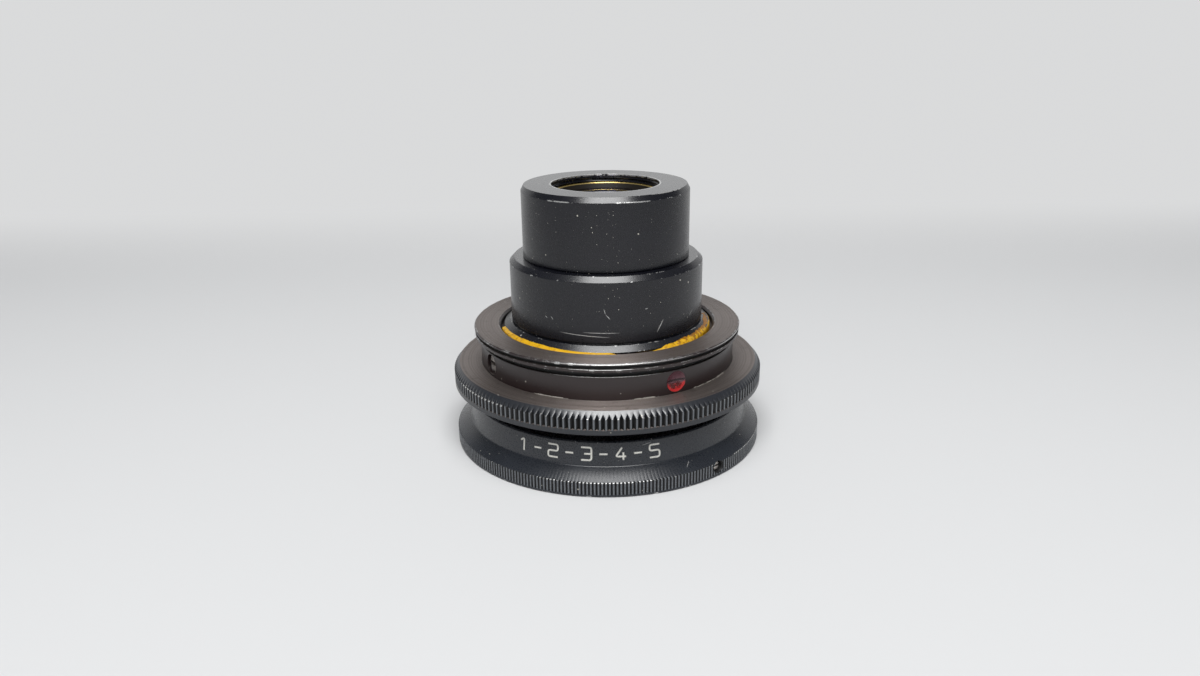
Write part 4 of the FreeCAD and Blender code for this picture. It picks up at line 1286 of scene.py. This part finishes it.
class MACROLENS_OT_set_screws(Operator):
    """Build the clamp screws, the front ring's grub screw and the varnish over the index screw"""

    bl_idname = "macro_lens.set_screws"
    bl_label = "Set Screws"

    def execute(self, context):
        sizes, ring = settings().adapter, settings().front_ring
        steel = bare_steel()
        shank = sizes.clamp_radius - FIT
        tip = INSERT_R - sizes.insert_groove + 0.1 * MM
        slot_width, slot_depth = 0.5 * MM, 0.6 * MM
        for number in range(4):
            name = f"clamp_screw_{number + 1}"
            screw = set_screw(
                f"{name}_visual", shank, tip, sizes.clamp_end, slot_width, slot_depth, FINE_PITCH)
            turn = sizes.index_angle + number * math.pi / 2
            screw.data.transform(radial(turn, sizes.clamp_height))
            place(screw, "adapter", "screw_steel", steel, name)

        grub_length, slot_width, slot_depth = 3.45 * MM, 0.3 * MM, 0.4 * MM
        grub = set_screw("name_ring_screw_visual", ring.screw_radius - FIT, ring.bore,
                         ring.bore + grub_length, slot_width, slot_depth, GRUB_PITCH)
        grub.data.transform(radial(ring.screw_angle, ring.screw_height))
        place(grub, "lens", "screw_steel", steel, "name_ring_screw")

        foot, crown, sag = sizes.clamp_end + FIT, sizes.neck - FIT, 0.28 * MM
        hollow = [(share * shank, crown - sag * (1 - share ** 3))
                  for share in np.linspace(0, 0.99, 14)]
        seal = turned("index_seal_visual", [(0, foot), (shank, foot), *reversed(hollow)],
                      edge=0, columns=64)
        seal.data.transform(radial(sizes.index_angle, sizes.clamp_height))
        varnish = red_varnish(sizes.index_angle, sizes.clamp_height, sizes.neck)
        place(seal, "adapter", "red_varnish", varnish, "index_seal")
        return {"FINISHED"}


# How far the bead climbs up the lead chamfer, and by how many millimetres it swells, each by
# degrees right of the front
BEAD_CLIMB = (
    (-78, 0.0), (-72, 0.1), (-66, 0.13), (-60, 0.18), (-54, 0.22), (-42, 0.25), (-36, 0.22),
    (-30, 0.16), (-18, 0.05), (-12, 0.03), (-6, 0.015), (0, 0.01), (12, 0.0), (18, 0.02),
    (24, 0.06), (30, 0.2), (36, 0.32), (42, 0.4), (48, 0.5), (54, 0.62), (60, 0.6), (66, 0.58),
    (72, 0.65), (78, 0.85), (84, 0.95), (90, 0.9), (97, 0.2))
BEAD_SWELL = (
    (-78, 0.0), (-60, 0.08), (-40, 0.08), (-10, 0.04), (15, 0.03), (40, 0.12), (60, 0.16),
    (97, 0.05))


class MACROLENS_OT_adhesive(Operator):
    """Run the ragged bead of adhesive round the barrel's thread"""

    bl_idname = "macro_lens.adhesive"
    bl_label = "Adhesive Bead"

    def execute(self, context):
        sizes, barrel = settings().adapter, settings().barrel
        draw = np.random.default_rng(21)
        turn = np.radians(np.linspace(BEAD_CLIMB[0][0], BEAD_CLIMB[-1][0], 700))
        degrees = np.degrees(turn)
        fine = np.convolve(draw.normal(size=len(turn) + 8), np.hanning(9), mode="valid")
        coarse = np.convolve(draw.normal(size=len(turn) + 30), np.hanning(31), mode="valid") / 2
        rough = np.interp(degrees, [-60, 10, 40], [0.5, 0.3, 1.0])
        climb = np.interp(degrees, *zip(*BEAD_CLIMB))
        climb = np.clip(climb + climb * rough * (0.06 * fine + 0.07 * coarse), 0, 1.15)
        swell = np.interp(degrees, *zip(*BEAD_SWELL)) * MM
        swell = swell * (1 + rough * (0.1 * fine + 0.16 * coarse))
        sunk = np.interp(degrees, [1, 7, 23, 31], [0, 0.45, 0.35, 0]) * MM
        lip = sizes.lip_bore - (0.02 + np.interp(degrees, [46, 58, 97], [0, 0.32, 0.4])) * MM
        lead_width = barrel.thread_radius - barrel.lead_radius
        lead_height = barrel.lead_top - barrel.thread_top
        inner_r = barrel.thread_radius + 0.005 * MM - climb * lead_width
        inner_z = barrel.thread_top - FIT + climb * lead_height - sunk
        outer_z = FLANGE_TOP - 0.3 * MM + 0.02 * MM * coarse - sunk
        crest_r, crest_z = (lip + inner_r) / 2, (outer_z + inner_z) / 2 + swell
        foot = INSERT_TOP + FIT
        section = [
            (sizes.insert_bore + 0 * turn, foot + 0 * turn),
            (lip, foot + 0 * turn),
            (lip, outer_z - 0.15 * MM),
            (lip - 0.03 * MM, outer_z),
            ((lip * 2 + crest_r) / 3, (outer_z * 2 + crest_z) / 3 + swell * 0.5),
            (crest_r, crest_z),
            ((crest_r + inner_r) / 2, (crest_z + inner_z) / 2 + swell * 0.3),
            (inner_r, inner_z + 0.03 * MM),
            (inner_r, inner_z - 0.1 * MM),
            (sizes.insert_bore + 0 * turn, np.minimum(inner_z - 0.2 * MM, barrel.thread_top)),
        ]
        rows = [np.stack([r * np.sin(turn), -r * np.cos(turn), z], axis=-1) for r, z in section]
        points = np.stack(rows, axis=1)
        count, sides = len(turn), len(section)
        faces = [
            (row * sides + side, (row + 1) * sides + side,
             (row + 1) * sides + (side + 1) % sides, row * sides + (side + 1) % sides)
            for row in range(count - 1) for side in range(sides)]
        faces.append(tuple(range(sides)))
        faces.append(tuple(reversed(range((count - 1) * sides, count * sides))))
        piece = new_piece("adhesive_bead_visual", points.reshape(-1, 3).tolist(), faces)
        close_up(piece)
        place(piece, "lens", "amber_adhesive", amber_adhesive(), "adhesive_bead",
              limit=math.radians(60))
        return {"FINISHED"}


class MACROLENS_OT_inner_parts(Operator):
    """Give the hidden glasses, rings and stop their finishes"""

    bl_idname = "macro_lens.inner_parts"
    bl_label = "Inner Parts"

    def execute(self, context):
        black, glass = cell_black("stop black"), coated_glass("inner glass")
        brass = blackened_brass("inner brass", [(CELL_R, 0)])
        finishes = {
            "aperture_stop": black, "front_element_inner": glass, "rear_crown_element": glass,
            "rear_flint_element": glass, "front_inner_ring": brass, "rear_inner_ring": brass}
        for node, finish in finishes.items():
            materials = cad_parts[node].data.materials
            materials.clear()
            materials.append(finish)
        return {"FINISHED"}


def backdrop_finish():
    """Plain pale matt floor that rises into a wall, as bright in metal and glass as it looks."""
    finish = Finish("pale backdrop")
    colours = finish.colours
    floor = finish.node("ShaderNodeBsdfPrincipled", {}, {
        "Base Color": (*colours.floor, 1), "Roughness": 0.9, "Specular IOR Level": 0.2})
    wall = finish.node("ShaderNodeEmission", {}, {"Color": (*colours.wall, 1), "Strength": 1.0})
    seen = 0.0
    for output in ("Is Camera Ray", "Is Glossy Ray", "Is Transmission Ray"):
        seen = finish.node("ShaderNodeLightPath", output=output) | seen
    share = seen * finish.fade(finish.depth, 80.0, 180.0)
    both = finish.node("ShaderNodeMixShader", {}, {0: share, 1: floor, 2: wall})
    finish.node("ShaderNodeOutputMaterial", {}, {"Surface": both})
    return finish.material


def softbox(name, place_at, width, depth, power):
    """Soft rectangular lamp at a place, facing the object."""
    lamp = bpy.data.lights.new(name, "AREA")
    lamp.shape = "RECTANGLE"
    lamp.size, lamp.size_y = width, depth
    lamp.energy = power
    holder = linked(name, lamp)
    holder.location = place_at
    aim = Vector((0, 0, 20 * MM)) - Vector(place_at)
    holder.rotation_euler = aim.to_track_quat("-Z", "Y").to_euler()


class MACROLENS_OT_stage(Operator):
    """Set the camera, the pale floor and backdrop, and the soft lamps"""

    bl_idname = "macro_lens.stage"
    bl_label = "Stage"

    def execute(self, context):
        sizes = settings().stage
        camera = bpy.data.cameras.new("camera")
        camera.lens = sizes.camera_lens
        camera.sensor_width = 36
        camera.clip_start, camera.clip_end = 0.005, 20
        holder = linked("camera", camera)
        tilt = Matrix.Rotation(math.pi / 2 - sizes.camera_pitch, 4, "X")
        lean = Matrix.Rotation(-sizes.camera_roll, 4, "Z")
        holder.matrix_world = Matrix.Translation(sizes.camera_place) @ tilt @ lean
        bpy.context.scene.camera = holder

        half, back, rise, bend = 2.0, 0.3, 0.2, 0.03
        outline = [(-half, 0.0), (back - bend, 0.0)]
        outline += [(back - bend + bend * math.sin(step), bend * (1 - math.cos(step)))
                    for step in np.linspace(0.15, math.pi / 2, 10)]
        outline.append((back, rise))
        points = [(side, y, z) for side in (-half, half) for y, z in outline]
        count = len(outline)
        faces = [(row, count + row, count + row + 1, row + 1) for row in range(count - 1)]
        backdrop = new_piece("backdrop", points, faces)
        backdrop.data.shade_smooth()
        backdrop.data.materials.append(backdrop_finish())

        softbox("overhead softbox", (0, -0.16, 0.5), width=0.32, depth=0.42, power=2.4)
        softbox("front softbox", (0, -0.37, 0.39), width=0.5, depth=0.15, power=1.35)

        world = bpy.data.worlds.new("studio")
        bpy.context.scene.world = world
        world.use_nodes = True
        background = world.node_tree.nodes["Background"]
        background.inputs["Color"].default_value = (0.8, 0.83, 0.87, 1)
        background.inputs["Strength"].default_value = 0.12
        bpy.context.scene.view_settings.view_transform = "Standard"
        return {"FINISHED"}


PIECE_OPERATORS = (
    MACROLENS_OT_front_ring,
    MACROLENS_OT_band_numbers,
    MACROLENS_OT_main_barrel,
    MACROLENS_OT_rear_cell,
    MACROLENS_OT_front_cell,
    MACROLENS_OT_adapter_shell,
    MACROLENS_OT_grip_ring,
    MACROLENS_OT_set_screws,
    MACROLENS_OT_adhesive,
    MACROLENS_OT_inner_parts,
    MACROLENS_OT_stage,
)


class MACROLENS_PT_panel(Panel):
    """Lists the macro lens's sizes, colours and operators"""

    bl_idname = "MACROLENS_PT_panel"
    bl_label = "Macro Lens"
    bl_space_type = "VIEW_3D"
    bl_region_type = "UI"
    bl_category = "Macro Lens"

    def draw(self, context):
        chosen = context.scene.macro_lens
        for group in ("front_ring", "marking", "barrel", "adapter", "colours", "stage"):
            box = self.layout.box()
            sizes = getattr(chosen, group)
            box.label(text=sizes.bl_rna.name)
            for name in sizes.__annotations__:
                box.prop(sizes, name)
        for operator in PIECE_OPERATORS:
            self.layout.operator(operator.bl_idname)


CLASSES = (
    FrontRingSizes,
    MarkingSizes,
    BarrelSizes,
    AdapterSizes,
    FinishColours,
    StageSizes,
    MacroLensSettings,
    *PIECE_OPERATORS,
    MACROLENS_PT_panel,
)


def register():
    for item in CLASSES:
        bpy.utils.register_class(item)
    bpy.types.Scene.macro_lens = PointerProperty(type=MacroLensSettings)


def unregister():
    del bpy.types.Scene.macro_lens
    for item in reversed(CLASSES):
        bpy.utils.unregister_class(item)


def main():
    register()
    for operator in PIECE_OPERATORS:
        group, name = operator.bl_idname.split(".")
        getattr(getattr(bpy.ops, group), name)()


if __name__ == "__main__":
    main()
